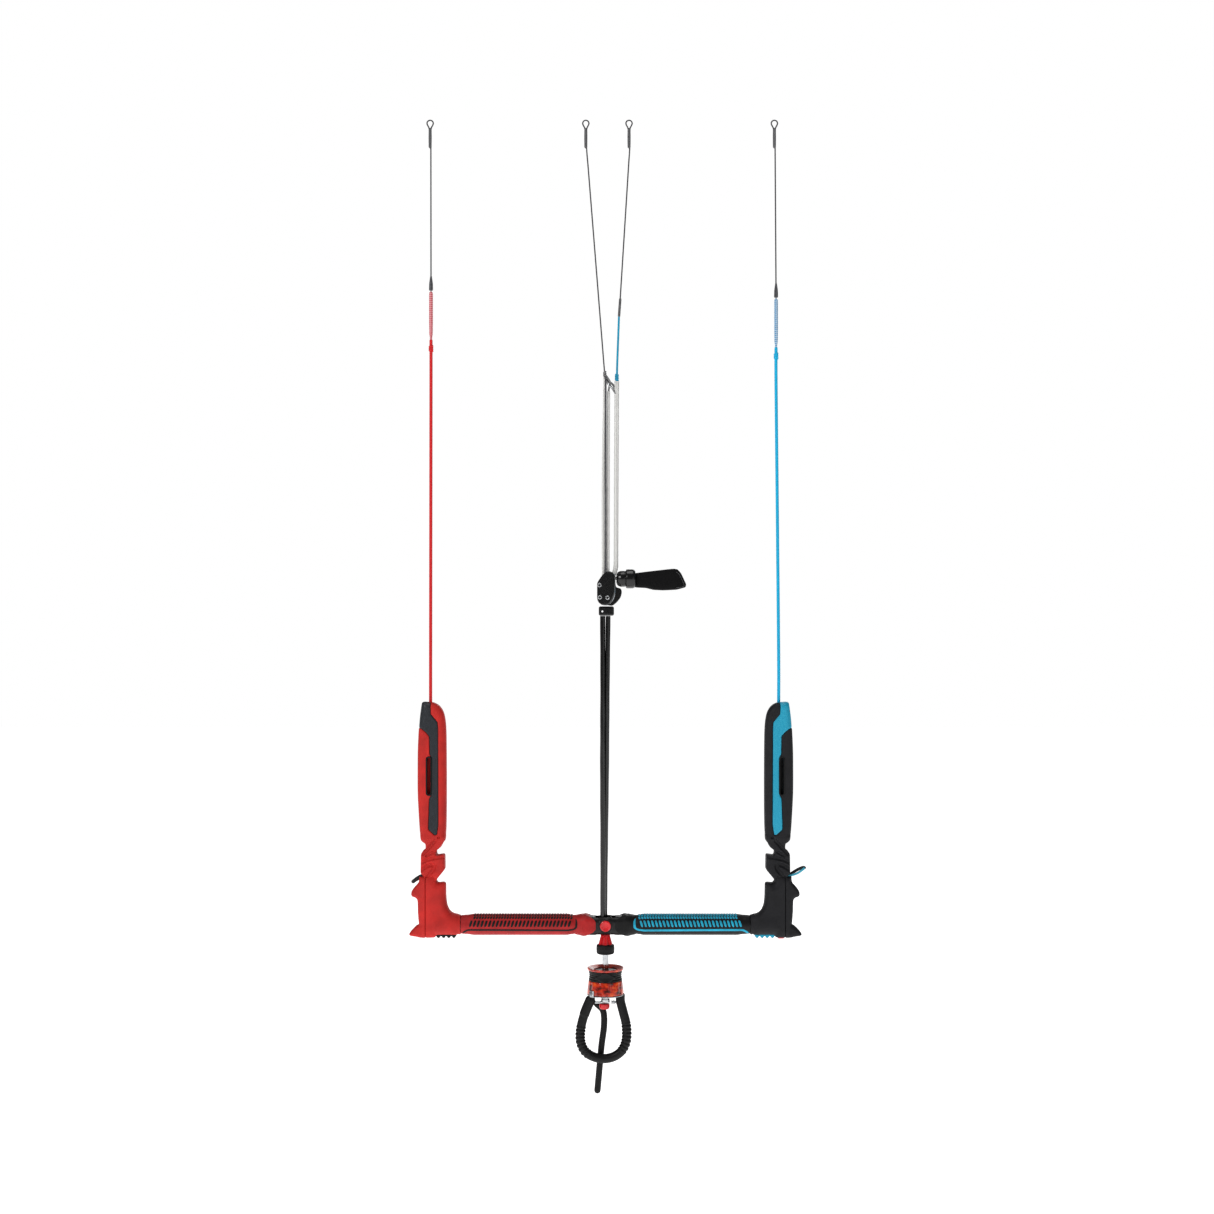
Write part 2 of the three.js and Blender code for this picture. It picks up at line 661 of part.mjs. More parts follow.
place('swivel_shaft', rod([0, 0, SHAFT_FOOT], [0, 0, -15.4], SHAFT_RADIUS, 20), 'steel');

place('stopper_ball', stopperBall(), 'blackPlastic');
place('trim_handle', trimHandle(), 'webbing');

place('hub_insert', hubInsert(), 'blackPlastic');
place('bar_hub', barHub(), 'blackPlastic');
place('hub_cap_front', hubCap(-1), 'redPlastic');
place('hub_cap_back', hubCap(1), 'redPlastic');

for (const [name, side] of [['left', -1], ['right', 1]]) {
  const isLeft = side < 0;
  const line = BACK_LINES[name];
  place(`bar_tube_${name}`, barTube(side), 'carbon');
  place(`grip_${name}`, grip(side), isLeft ? 'redRubber' : 'blackRubber');
  place(`bar_end_${name}`, barEnd(side), isLeft ? 'redRubber' : 'blackRubber');
  place(`line_winder_${name}`, lineWinder(side), isLeft ? 'redRubber' : 'blackRubber');
  place(`width_tab_${name}`, widthTab(side), isLeft ? 'blackRubber' : 'tealInsert');
  place(`bungee_${name}`, tube(BUNGEES[name], BUNGEE_RADIUS, 20), isLeft ? 'blackRope' : 'blueRope');
  place(`float_shell_${name}`, floatShell(side, line), isLeft ? 'redFoam' : 'blackFoam');
  place(`float_insert_${name}`, floatInsert(side, line), isLeft ? 'blackInsert' : 'tealInsert');
  place(`leader_line_${name}`, leaderLine(side, line), isLeft ? 'redRope' : 'blueRope');
  place(`pigtail_sleeve_${name}`, pigtailSleeve(side, line), isLeft ? 'redSleeve' : 'blueSleeve');
  place(`back_line_${name}`, backLine(side, line), 'blackRope');
}
place('lock_button_right', lockButton(), 'redPlastic');

place('release_core', releaseCore(), 'blackPlastic');
place('cradle_plate', cradlePlate(), 'steel');
place('cradle_rivet', cradleRivet(), 'steel');
place('gate_arm', gateArm(), 'steel');
place('release_plug', releasePlug(), 'redPlastic');
place('release_sleeve', releaseSleeve(), 'clearRed');
place('sleeve_grip', sleeveGrip(), 'blackRubber');
place('release_spring', releaseSpring(), 'steel');
place('gate_pin', gatePin(), 'steel');
place('chicken_loop', chickenLoop(), 'blackRubber');
place('chicken_stick', chickenStick(), 'blackRubber');

export default controlBar;
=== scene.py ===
"""Looks of the kitesurf control bar: floats, winder ends, grips, lines, cleat and chicken loop.

Shapes are laid out in millimetres about the bar's axis, and to_frame() hangs them LINE_TOP below
the loops at the top of the front lines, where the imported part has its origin. "Reach" is the
distance from the middle of the bar, so one description serves both ends. The rider is at -Y.
"""

import math

import bmesh
import bpy
import numpy as np
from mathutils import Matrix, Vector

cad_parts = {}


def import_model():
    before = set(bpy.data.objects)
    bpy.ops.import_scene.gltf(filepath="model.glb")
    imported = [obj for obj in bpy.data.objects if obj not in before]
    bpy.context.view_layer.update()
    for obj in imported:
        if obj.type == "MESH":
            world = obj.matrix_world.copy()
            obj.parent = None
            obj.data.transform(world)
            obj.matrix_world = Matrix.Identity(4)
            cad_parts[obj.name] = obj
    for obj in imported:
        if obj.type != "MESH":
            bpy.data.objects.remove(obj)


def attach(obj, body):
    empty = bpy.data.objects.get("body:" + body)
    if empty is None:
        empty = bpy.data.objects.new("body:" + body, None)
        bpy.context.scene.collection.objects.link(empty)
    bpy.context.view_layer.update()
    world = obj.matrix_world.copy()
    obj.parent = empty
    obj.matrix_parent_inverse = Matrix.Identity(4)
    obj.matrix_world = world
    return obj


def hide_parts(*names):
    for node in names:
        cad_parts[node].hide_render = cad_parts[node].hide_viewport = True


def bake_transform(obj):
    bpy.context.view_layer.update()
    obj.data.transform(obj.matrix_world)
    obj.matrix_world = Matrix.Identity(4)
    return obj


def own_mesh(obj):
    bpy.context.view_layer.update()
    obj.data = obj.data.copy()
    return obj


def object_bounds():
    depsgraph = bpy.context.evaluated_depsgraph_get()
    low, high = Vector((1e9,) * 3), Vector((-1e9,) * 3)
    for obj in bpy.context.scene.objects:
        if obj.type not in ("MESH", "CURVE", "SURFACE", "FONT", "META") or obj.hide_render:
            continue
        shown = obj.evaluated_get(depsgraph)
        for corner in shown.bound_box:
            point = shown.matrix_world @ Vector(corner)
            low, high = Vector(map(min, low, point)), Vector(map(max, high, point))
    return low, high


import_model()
cad_low, cad_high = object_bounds()

MM = 0.001
LINE_TOP = 1022
SIDES = {"left": -1, "right": 1}
TRIM = {
    "left": {"foam": "red_foam", "rubber": "red_rubber", "accent": "black_rubber",
             "insert": "black_insert", "line": "red_line", "sleeve": "red_sleeve"},
    "right": {"foam": "black_foam", "rubber": "black_rubber", "accent": "teal_rubber",
              "insert": "teal_insert", "line": "blue_line", "sleeve": "blue_sleeve"},
}


# ---- placing and meshing ----


def to_frame(points):
    """Millimetres about the bar's axis, as metres in the part's frame."""
    placed = np.array(points, dtype=float) * MM
    placed[..., 2] -= LINE_TOP * MM
    return placed


def put(name, data):
    """An object in the scene."""
    made = bpy.data.objects.new(name, data)
    bpy.context.scene.collection.objects.link(made)
    return made


def add(name, mesh_data, look, body, node=None, sharp=38):
    """A piece from (points, faces, uvs); a piece with no body is left unattached."""
    points, faces, uvs = mesh_data
    mesh = bpy.data.meshes.new(name)
    mesh.from_pydata(to_frame(points).tolist(), [], faces)
    if uvs is not None:
        layer = mesh.uv_layers.new(name="UVMap")
        layer.data.foreach_set("uv", np.asarray(uvs, dtype=np.float32).ravel())
    work = bmesh.new()
    work.from_mesh(mesh)
    bmesh.ops.recalc_face_normals(work, faces=work.faces)
    work.to_mesh(mesh)
    work.free()
    mesh.materials.append(LOOKS[look])
    mesh.shade_smooth()
    mesh.set_sharp_from_angle(angle=math.radians(sharp))
    piece = put(name, mesh)
    if body:
        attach(piece, body)
    if node:
        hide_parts(node)
    return piece


def merged(shapes):
    """Several closed shapes as one piece's mesh."""
    points, faces, uvs = [], [], []
    for shape_points, shape_faces, shape_uvs in shapes:
        faces += [[corner + len(points) for corner in face] for face in shape_faces]
        points += shape_points.tolist()
        uvs += shape_uvs.tolist()
    return points, faces, uvs


# ---- rings: tubes along a route and turned pieces ----


def ring_mesh(rings, along, ends="capped"):
    """A skin over rings of points, with each ring's V; its ends are capped, open or joined."""
    rows, columns = rings.shape[:2]
    row, column = np.indices((rows if ends == "joined" else rows - 1, columns)).reshape(2, -1)
    above, after = (row + 1) % rows, (column + 1) % columns
    quads = np.stack([row * columns + column, row * columns + after,
                      above * columns + after, above * columns + column], 1).tolist()
    left, right, along = column / columns, (column + 1) / columns, np.asarray(along, dtype=float)
    low, high = along[row], along[above]
    uvs = np.stack([left, low, right, low, right, high, left, high], 1).reshape(-1, 2)
    if ends != "capped":
        return rings.reshape(-1, 3), quads, uvs
    last = (rows - 1) * columns
    caps = [list(range(columns))[::-1], list(range(last, last + columns))]
    around = np.arange(columns) / columns
    first_uvs, last_uvs = (np.column_stack([around, np.full(columns, v)]) for v in along[[0, -1]])
    return rings.reshape(-1, 3), quads + caps, np.vstack([uvs, first_uvs[::-1], last_uvs])


def circle(steps):
    """Evenly spaced angles, once round."""
    return 2 * math.pi * np.arange(steps) / steps


def lengths(route):
    """How far along the route each of its points is."""
    steps = np.linalg.norm(np.diff(route, axis=0), axis=1)
    return np.concatenate([[0], np.cumsum(steps)])


def smooth_route(points, step):
    """A Catmull-Rom curve through the points, resampled at an even step."""
    points = np.asarray(points, dtype=float)
    ends = np.vstack([2 * points[0] - points[1], points, 2 * points[-1] - points[-2]])
    share = np.linspace(0, 1, 16, endpoint=False)[:, None]
    spans = []
    for a, b, c, d in zip(ends, ends[1:], ends[2:], ends[3:]):
        bend = (2 * a - 5 * b + 4 * c - d) * share**2 + (3 * b - a - 3 * c + d) * share**3
        spans.append(0.5 * (2 * b + (c - a) * share + bend))
    fine = np.vstack([*spans, points[-1:]])
    along = lengths(fine)
    even = np.linspace(0, along[-1], max(2, int(round(along[-1] / step)) + 1))
    return np.column_stack([np.interp(even, along, fine[:, k]) for k in range(3)])


def carried_frames(route):
    """Each point's direction and two axes square to it, carried along without twisting."""
    tangent = np.gradient(route, axis=0)
    tangent /= np.linalg.norm(tangent, axis=1)[:, None]
    start = np.cross(tangent[0], [0, 1, 0])
    if np.linalg.norm(start) < 0.1:
        start = np.cross(tangent[0], [1, 0, 0])
    across = [start / np.linalg.norm(start)]
    for direction in tangent[1:]:
        carried = across[-1] - direction * np.dot(across[-1], direction)
        across.append(carried / np.linalg.norm(carried))
    return tangent, np.array(across), np.cross(tangent, across)


def sweep(route, radius, sides=16, round_ends=False):
    """A tube along a route; the radius is a number or a function of (length, angle)."""
    route = np.asarray(route, dtype=float)
    along, angle = lengths(route), circle(sides)
    tangent, across, up = carried_frames(route)
    size = radius(along[:, None], angle[None, :]) if callable(radius) else float(radius)
    size = np.broadcast_to(size, (len(route), sides))

    def ring(k, scale=1.0, ahead=0.0):
        spoke = np.cos(angle)[:, None] * across[k] + np.sin(angle)[:, None] * up[k]
        return route[k] + tangent[k] * ahead + spoke * size[k][:, None] * scale

    rings = [ring(k) for k in range(len(route))]
    if round_ends:
        dome = np.radians([85, 66, 44, 22])
        first, last = size[0].mean(), size[-1].mean()
        head = [ring(0, math.cos(a), -math.sin(a) * first) for a in dome]
        tail = [ring(-1, math.cos(a), math.sin(a) * last) for a in dome[::-1]]
        rings = head + rings + tail
        along = np.pad(along, len(dome), "edge")
    return ring_mesh(np.array(rings), along)


def tube(points, step, radius, sides=16, round_ends=True):
    """A tube along a smooth route through the points."""
    return sweep(smooth_route(points, step), radius, sides, round_ends)


def rounded(corners, radius, steps=4):
    """A profile with each inner corner rounded off by a short curve."""
    corners = np.asarray(corners, dtype=float)
    result = [corners[0]]
    for before, corner, after in zip(corners, corners[1:], corners[2:]):
        start, end = (
            corner + (other - corner) / np.linalg.norm(other - corner)
            * min(radius, np.linalg.norm(other - corner) * 0.45)
            for other in (before, after)
        )
        for share in np.linspace(0, 1, steps + 1):
            bend = 2 * share * (1 - share) * corner
            result.append((1 - share) ** 2 * start + bend + share**2 * end)
    return np.array([*result, corners[-1]])


def densify(points, step):
    """A profile with extra points, close enough together for a fine relief to follow it."""
    result = [points[:1]]
    for a, b in zip(points, points[1:]):
        count = max(1, int(np.linalg.norm(b - a) / step))
        result.append(a + (b - a) * np.arange(1, count + 1)[:, None] / count)
    return np.vstack(result)


def turned(profile, sides=64, centre=(0, 0), axis="z", relief=None, hollow=False):
    """A piece turned about an axis; relief(radius, height, angle) may change the radius.

    A hollow piece's profile runs round its wall and ends where it began.
    """
    profile = np.asarray(profile, dtype=float)
    angle = circle(sides)[None, :]
    radius, height = profile[:, :1], profile[:, 1:]
    size = relief(radius, height, angle) if relief else np.repeat(radius, sides, 1)
    places = [size * np.cos(angle) + centre[0], size * np.sin(angle) + centre[1]]
    places.insert("xyz".index(axis), np.broadcast_to(height, size.shape))
    return ring_mesh(np.stack(places, -1), lengths(profile), "open" if hollow else "capped")


def torus(centre, ring_radius, tube_radius, axis, sides=14, steps=56):
    """A ring about an axis given as a direction."""
    axis = np.array(axis) / np.linalg.norm(axis)
    side_axis = np.cross(axis, [0.31, 0.95, 0.05])
    side_axis /= np.linalg.norm(side_axis)
    turn, roll = circle(steps)[:, None, None], circle(sides)[None, :, None]
    spoke = np.cos(turn) * side_axis + np.sin(turn) * np.cross(axis, side_axis)
    rings = np.array(centre) + spoke * (ring_radius + tube_radius * np.cos(roll))
    return ring_mesh(rings + axis * tube_radius * np.sin(roll), np.arange(steps), "joined")


def plate(outline, near, far, bevel):
    """A flat plate between two depths, its corners rounded off and its long edges bevelled."""
    points = rounded([outline[-1], *outline, outline[0]], 2.5)[1:-1]
    following, before = np.roll(points, -1, axis=0), np.roll(points, 1, axis=0)
    area = np.sum(points[:, 0] * following[:, 1] - following[:, 0] * points[:, 1])

    def normal(a, b):
        along = (b - a) / np.linalg.norm(b - a, axis=1)[:, None]
        return np.stack([-along[:, 1], along[:, 0]], 1) * np.sign(area)

    first, second = normal(before, points), normal(points, following)
    spread = 1 + np.sum(first * second, axis=1)[:, None]
    inner = points + (first + second) * bevel / np.maximum(spread, 0.5)
    lean = math.copysign(bevel, far - near)
    rows = [(inner, near), (points, near + lean), (points, far - lean), (inner, far)]
    rings = [np.insert(row, 1, depth, axis=1) for row, depth in rows]
    return ring_mesh(np.array(rings), [0, bevel, abs(far - near), abs(far - near) + bevel])


# ---- distance fields: moulded shapes ----


def route_distance(route, x, z):
    """Distance to an open line in the XZ plane."""
    nearest = np.inf
    for (ax, az), (bx, bz) in zip(route, route[1:]):
        ex, ez = bx - ax, bz - az
        share = np.clip(((x - ax) * ex + (z - az) * ez) / (ex * ex + ez * ez), 0, 1)
        nearest = np.minimum(nearest, (x - ax - ex * share) ** 2 + (z - az - ez * share) ** 2)
    return np.sqrt(nearest)


def outline_distance(outline, x, z, passes=0):
    """Distance to a closed outline, negative inside it, softened at its corners."""
    closed = [*outline, outline[0]]
    inside = np.zeros(np.broadcast_shapes(x.shape, z.shape), dtype=bool)
    for (ax, az), (bx, bz) in zip(closed, closed[1:]):
        if az != bz:
            crosses = ((az > z) != (bz > z)) & (x < (bx - ax) * (z - az) / (bz - az) + ax)
            inside = inside ^ crosses
    return soften(np.where(inside, -1, 1) * route_distance(closed, x, z), passes)


def soften(flat, passes):
    """Round an outline's corners, by averaging its distances over their neighbours."""
    for axis in (0, 2) * passes:
        ends = [flat.take([0], axis), flat, flat.take([-1], axis)]
        padded = np.moveaxis(np.concatenate(ends, axis), axis, 0)
        mean = 0.5 * padded[1:-1] + 0.25 * (padded[:-2] + padded[2:])
        flat = np.moveaxis(mean, 0, axis)
    return flat


def slab(flat, y, half_depth, edge):
    """An outline given depth, with its edges rounded over."""
    across, through = flat + edge, np.abs(y) - half_depth + edge
    outer = np.hypot(np.maximum(across, 0), np.maximum(through, 0))
    return np.minimum(np.maximum(across, through), 0) + outer - edge


def overlap(*distances):
    """The space that several distances share."""
    shared = distances[0]
    for distance in distances[1:]:
        shared = np.maximum(shared, distance)
    return shared


def box_distance(low, high, x, y, z, edge=0.0):
    """Distance to a block between two corners, with its edges rounded."""
    spans = zip((x, y, z), low, high)
    parts = [np.abs(value - (a + b) / 2) - (b - a) / 2 + edge for value, a, b in spans]
    outer = np.sqrt(sum(np.maximum(part, 0) ** 2 for part in parts))
    return outer + np.minimum(overlap(*parts), 0) - edge


def cylinder(a, b, radius, along, half_length):
    """Distance to a cylinder from two offsets across its axis and one along it."""
    return np.maximum(np.hypot(a, b) - radius, np.abs(along) - half_length)


def fuse(a, b, width):
    """The nearer of two distances, with a soft fillet between them."""
    share = np.clip(0.5 + 0.5 * (b - a) / width, 0, 1)
    return b + (a - b) * share - width * share * (1 - share)


def carved(field, low, high, step):
    """The zero surface of a distance field between two corners, as a mesh of quads."""
    axes = [np.arange(a - 2 * step, b + 3 * step, step) for a, b in zip(low, high)]
    x, y, z = np.meshgrid(*axes, indexing="ij", sparse=True)
    values = np.broadcast_to(field(x, y, z), [len(a) for a in axes])
    inside = values < 0
    cells = tuple(n - 1 for n in values.shape)
    total, count = np.zeros((*cells, 3)), np.zeros(cells)
    for axis in range(3):
        near, far = np.moveaxis(values, axis, 0)[:-1], np.moveaxis(values, axis, 0)[1:]
        crosses = (near < 0) != (far < 0)
        share = np.where(crosses, near / np.where(crosses, near - far, 1), 0)
        others = [k for k in range(3) if k != axis]
        moved_total, moved_count = np.moveaxis(total, axis, 0), np.moveaxis(count, axis, 0)
        _, rows, columns = moved_count.shape
        for down in (0, 1):
            for over in (0, 1):
                window = (slice(None), slice(down, down + rows), slice(over, over + columns))
                hit = crosses[window]
                moved_count += hit
                moved_total[..., axis] += share[window] * hit
                moved_total[..., others[0]] += down * hit
                moved_total[..., others[1]] += over * hit
    used = count > 0
    index = np.full(cells, -1)
    index[used] = np.arange(used.sum())
    places = np.argwhere(used) + total[used] / count[used][:, None]
    faces = []
    for axis in range(3):
        order = (axis, (axis + 1) % 3, (axis + 2) % 3)
        solid, ids = np.transpose(inside, order), np.transpose(index, order)
        i, j, k = np.nonzero(solid[:-1, 1:-1, 1:-1] != solid[1:, 1:-1, 1:-1])
        j, k = j + 1, k + 1
        quads = np.stack([ids[i, j - 1, k - 1], ids[i, j, k - 1], ids[i, j, k], ids[i, j - 1, k]], 1)
        faces.append(np.where(solid[i, j, k][:, None], quads, quads[:, ::-1]))
    return places * step + np.array([a[0] for a in axes]), np.vstack(faces).tolist(), None


def carved_side(side, field, low, high, step):
    """A field of (reach, y, z) on one side of the bar, as a mesh."""
    near, far = sorted([side * low[0], side * high[0]])
    return carved(lambda x, y, z: field(side * x, y, z), (near, *low[1:]), (far, *high[1:]), step)


# ---- materials ----


def light(*screen):
    """A screen colour (0-255) as linear light."""
    return tuple(((v / 255 + 0.055) / 1.055) ** 2.4 if v > 10 else v / 255 / 12.92 for v in screen)


def shade(colour, factor):
    return tuple(min(255, value * factor) for value in colour)


class Look:
    """A Principled material, with a short way to add the nodes of its detail."""

    def __init__(self, name, colour, roughness, metallic=0.0):
        self.material = bpy.data.materials.new(name)
        self.material.use_nodes = True
        self.tree = self.material.node_tree
        self.shader = self.tree.nodes["Principled BSDF"]
        self.colour, self.normal = colour, None
        self.set("Base Color", (*light(*colour), 1))
        self.set("Roughness", roughness)
        self.set("Metallic", metallic)
        coordinates = self.node("ShaderNodeTexCoord")
        self.place, self.uv = coordinates.outputs["Object"], coordinates.outputs["UV"]

    def feed(self, socket, value):
        """Give an input a plain value or another node's output."""
        if isinstance(value, bpy.types.NodeSocket):
            self.tree.links.new(value, socket)
        else:
            socket.default_value = value

    def node(self, kind, **inputs):
        made = self.tree.nodes.new(kind)
        for name, value in inputs.items():
            self.feed(made.inputs[name], value)
        return made

    def set(self, name, value):
        self.feed(self.shader.inputs[name], value)

    def split(self, vector):
        return self.node("ShaderNodeSeparateXYZ", Vector=vector).outputs

    def maths(self, operation, a, b=0.0):
        made = self.node("ShaderNodeMath")
        made.operation = operation
        self.feed(made.inputs[0], a)
        self.feed(made.inputs[1], b)
        return made.outputs[0]

    def noise(self, scale, detail=3.0, stretch=(1, 1, 1)):
        """Noise with a scale in cycles per metre; stretch squeezes it along an axis."""
        mapping = self.node("ShaderNodeMapping", Vector=self.place, Scale=stretch)
        made = self.node("ShaderNodeTexNoise", Vector=mapping.outputs[0], Scale=scale, Detail=detail)
        return made.outputs["Fac"]

    def ramp(self, value, *stops):
        """Colours by value; each stop is (place, colour in linear light)."""
        made = self.node("ShaderNodeValToRGB", Fac=value)
        elements = made.color_ramp.elements
        while len(elements) < len(stops):
            elements.new(0.5)
        for element, (place, tone) in zip(elements, stops):
            element.position = place
            element.color = (*tone, 1)
        return made.outputs["Color"]

    def colour_by(self, value, *stops):
        tones = [(place, light(*tone)) for place, tone in stops]
        self.set("Base Color", self.ramp(value, *tones))

    def clouded(self, value, dark, pale, low=0.3, high=0.7):
        """Its own colour, made darker or paler by value."""
        self.colour_by(value, (low, shade(self.colour, dark)), (high, shade(self.colour, pale)))

    def roughness_by(self, value, low, high):
        self.set("Roughness", self.ramp(value, (0.3, (low,) * 3), (0.7, (high,) * 3)))

    def bump(self, height, distance, strength):
        made = self.node("ShaderNodeBump", Height=height, Distance=distance, Strength=strength)
        if self.normal is not None:
            self.feed(made.inputs["Normal"], self.normal)
        self.normal = made.outputs["Normal"]
        self.set("Normal", self.normal)

    def crossings(self, first, second):
        """0 to 1 over the crossings of two sets of waves."""
        both = self.maths("MULTIPLY", self.maths("SINE", first), self.maths("SINE", second))
        return self.maths("ADD", self.maths("MULTIPLY", both, 0.5), 0.5)


def moulded(look, cloud, tones, grains, gloss, settings, stretch=(1, 1, 1)):
    """A surface with clouded colour, fine grain and uneven gloss, given as (scale, low, high)."""
    look.clouded(look.noise(*cloud), *tones)
    for scale, detail, distance, strength in grains:
        look.bump(look.noise(scale, detail, stretch), distance, strength)
    scale, low, high = gloss
    look.roughness_by(look.noise(scale, 3, stretch), low, high)
    for name, value in settings.items():
        look.set(name, value)
    return look.material


def foam(name, colour):
    """Moulded EVA: a matt closed skin with faint clouding and fine pores."""
    pores = [(2600, 2, 0.00008, 0.7), (420, 3, 0.00012, 0.5)]
    return moulded(Look(name, colour, 0.6), (60, 4), (0.93, 1.06), pores, (300, 0.5, 0.68),
                   {"Specular IOR Level": 0.3})


def rubber(name, colour):
    """Moulded rubber: slightly satin, with a fine spark-eroded grain."""
    grain = [(3800, 2, 0.00005, 0.8)]
    return moulded(Look(name, colour, 0.5), (90, 4), (0.9, 1.07), grain, (500, 0.42, 0.6),
                   {"Specular IOR Level": 0.35})


def plastic(name, colour, roughness=0.35, coat=0.0):
    """Hard moulded plastic, with a lacquer where it is glossy."""
    gloss = (700, roughness - 0.06, roughness + 0.1)
    return moulded(Look(name, colour, roughness), (120, 3), (0.94, 1.06), [(5200, 2, 0.00003, 0.6)],
                   gloss, {"Coat Weight": coat, "Coat Roughness": 0.12})


def steel(name, colour, roughness):
    """Turned or pressed stainless steel with fine machining lines."""
    gloss = (900, roughness - 0.05, roughness + 0.08)
    return moulded(Look(name, colour, roughness, 1.0), (200, 3), (0.9, 1.04),
                   [(1800, 2, 0.00001, 0.25)], gloss, {}, (1, 1, 12))


def rope(name, dark, pale, strands, pitch):
    """A braided cord: two tones that cross, each crossing standing proud. V is in millimetres."""
    look = Look(name, pale, 0.75)
    around, along, _ = look.split(look.uv)
    around = look.maths("MULTIPLY", around, 2 * math.pi * strands)
    along = look.maths("MULTIPLY", along, 2 * math.pi / pitch)
    weave = look.crossings(look.maths("ADD", around, along), look.maths("SUBTRACT", around, along))
    look.colour_by(weave, (0.3, dark), (0.62, pale))
    look.bump(weave, 0.00015, 0.9)
    look.bump(look.noise(6000, 2, (1, 1, 0.3)), 0.00004, 0.6)
    look.set("Sheen Weight", 0.15)
    return look.material


def marbled(name, dark, middle, bright):
    """Translucent moulded plastic with darker swirls under a glossy surface."""
    look = Look(name, middle, 0.18)
    look.colour_by(look.noise(110, 6, (1, 1, 1.6)), (0.34, dark), (0.5, middle), (0.66, bright))
    look.bump(look.noise(900), 0.00004, 0.5)
    look.set("Coat Weight", 0.6)
    look.set("Coat Roughness", 0.08)
    look.set("Subsurface Weight", 0.12)
    look.set("Subsurface Scale", 0.004)
    return look.material


def webbing(name, colour):
    """Woven nylon cloth: warp and weft ribs square to each other."""
    look = Look(name, colour, 0.72)
    across, _, up = look.split(look.place)
    weave = look.crossings(look.maths("MULTIPLY", across, 2 * math.pi / 0.0011),
                           look.maths("MULTIPLY", up, 2 * math.pi / 0.0014))
    look.clouded(weave, 0.7, 1.5, 0.2, 0.8)
    look.bump(weave, 0.00012, 0.8)
    look.bump(look.noise(160, 4), 0.0004, 0.4)
    look.set("Specular IOR Level", 0.2)
    return look.material


def speckled(name, colour, speck):
    """A printed insert: a plain tone with fine paler specks."""
    look = Look(name, colour, 0.45)
    look.colour_by(look.noise(2800, 1), (0.5, colour), (0.66, speck))
    look.bump(look.noise(2200, 2), 0.00006, 0.7)
    return look.material


RED, TEAL = (200, 48, 43), (10, 160, 194)
RECIPES = {
    foam: {"red_foam": [RED], "black_foam": [(34, 34, 37)]},
    speckled: {
        "black_insert": [(30, 33, 38), (58, 64, 72)],
        "teal_insert": [TEAL, (70, 190, 214)],
    },
    rubber: {
        "red_rubber": [(176, 34, 36)],
        "black_rubber": [(13, 13, 14)],
        "teal_rubber": [(40, 176, 208)],
    },
    plastic: {
        "red_plastic": [(214, 26, 36), 0.28, 0.4],
        "black_plastic": [(11, 11, 12)],
        "cleat_black": [(10, 10, 12), 0.24, 0.3],
        "coated_line": [(7, 7, 8), 0.16, 0.5],
        "bar_tube": [(18, 18, 20), 0.3, 0.5],
    },
    marbled: {"clear_red": [(74, 10, 6), (196, 44, 20), (236, 96, 34)]},
    steel: {"steel": [(196, 198, 200), 0.14], "spring_steel": [(140, 142, 146), 0.3]},
    rope: {
        "flying_line": [(40, 40, 42), (92, 92, 94), 3, 2.0],
        "sewn_sleeve": [(18, 18, 20), (128, 128, 130), 3, 3.0],
        "grey_sleeve": [(24, 24, 26), (104, 104, 108), 3, 3.4],
        "safety_cord": [(10, 120, 156), (40, 186, 222), 3, 2.6],
        "red_line": [(190, 16, 24), (236, 40, 44), 4, 2.6],
        "blue_line": [(4, 158, 206), (24, 204, 246), 4, 2.6],
        "red_sleeve": [(190, 34, 48), (232, 170, 176), 3, 5.0],
        "blue_sleeve": [(60, 140, 190), (196, 216, 232), 3, 5.0],
        "trim_rope": [(176, 174, 174), (252, 252, 248), 4, 2.4],
        "flecked_rope": [(24, 24, 26), (176, 176, 176), 4, 3.0],
        "bungee_black": [(8, 8, 9), (34, 34, 36), 4, 1.8],
        "bungee_blue": [(20, 120, 150), (96, 208, 232), 3, 3.0],
        "bungee_pink": [(190, 70, 72), (240, 150, 150), 3, 2.4],
    },
    webbing: {"webbing": [(11, 11, 12)]},
}
LOOKS = {}
for recipe, rows in RECIPES.items():
    for look_name, colours in rows.items():
        LOOKS[look_name] = recipe(look_name, *colours)


# ---- camera ----


def camera():
    """Level, square to the bar, a little below the middle of the lines."""
    lens = bpy.data.cameras.new("camera")
    lens.lens = 54.87
    lens.sensor_width = 36
    lens.clip_end = 60
    eye = put("camera", lens)
    eye.location = (0.002, -2.35, -0.619)
    eye.rotation_euler = (math.pi / 2, 0, 0)
    bpy.context.scene.camera = eye


camera()


# ---- free lines ----

FLYING_LINE_RADIUS = 0.85
EYE_RADIUS = 4
EYE_CENTRE = LINE_TOP - EYE_RADIUS - FLYING_LINE_RADIUS
EYE_SPLICE = 30  # from the eye's centre down to where the sewn end stops
LEADER_RADIUS = 2
BACK_LINES = {
    "left": {"foot": 222, "knot": 221.5, "head": 222.6, "knot_top": 736, "sleeve_top": 804.3,
             "tip_top": 823.3},
    "right": {"foot": 220, "knot": 216.7, "head": 214.6, "knot_top": 726.4, "sleeve_top": 795.4,
              "tip_top": 814.4},
}


def free_cord(name, path, radius, look, body, node,
              sides=10):
    """A cord: a tube along its route, which starts where the cord leaves the object."""
    piece = add(name, sweep(path, radius, sides), look, body, node)
    placed = to_frame(path)


def wraps(x, low, high, coil, strand, turns):
    """A knot's wraps: a strand wound round the line between two heights."""
    share = np.linspace(0, 1, int(turns * 20))
    angle = 2 * math.pi * turns * share
    rise = low + strand + (high - low - 2 * strand) * share
    path = np.column_stack([x + coil * np.cos(angle), coil * np.sin(angle), rise])
    return sweep(path, strand, 10, round_ends=True)


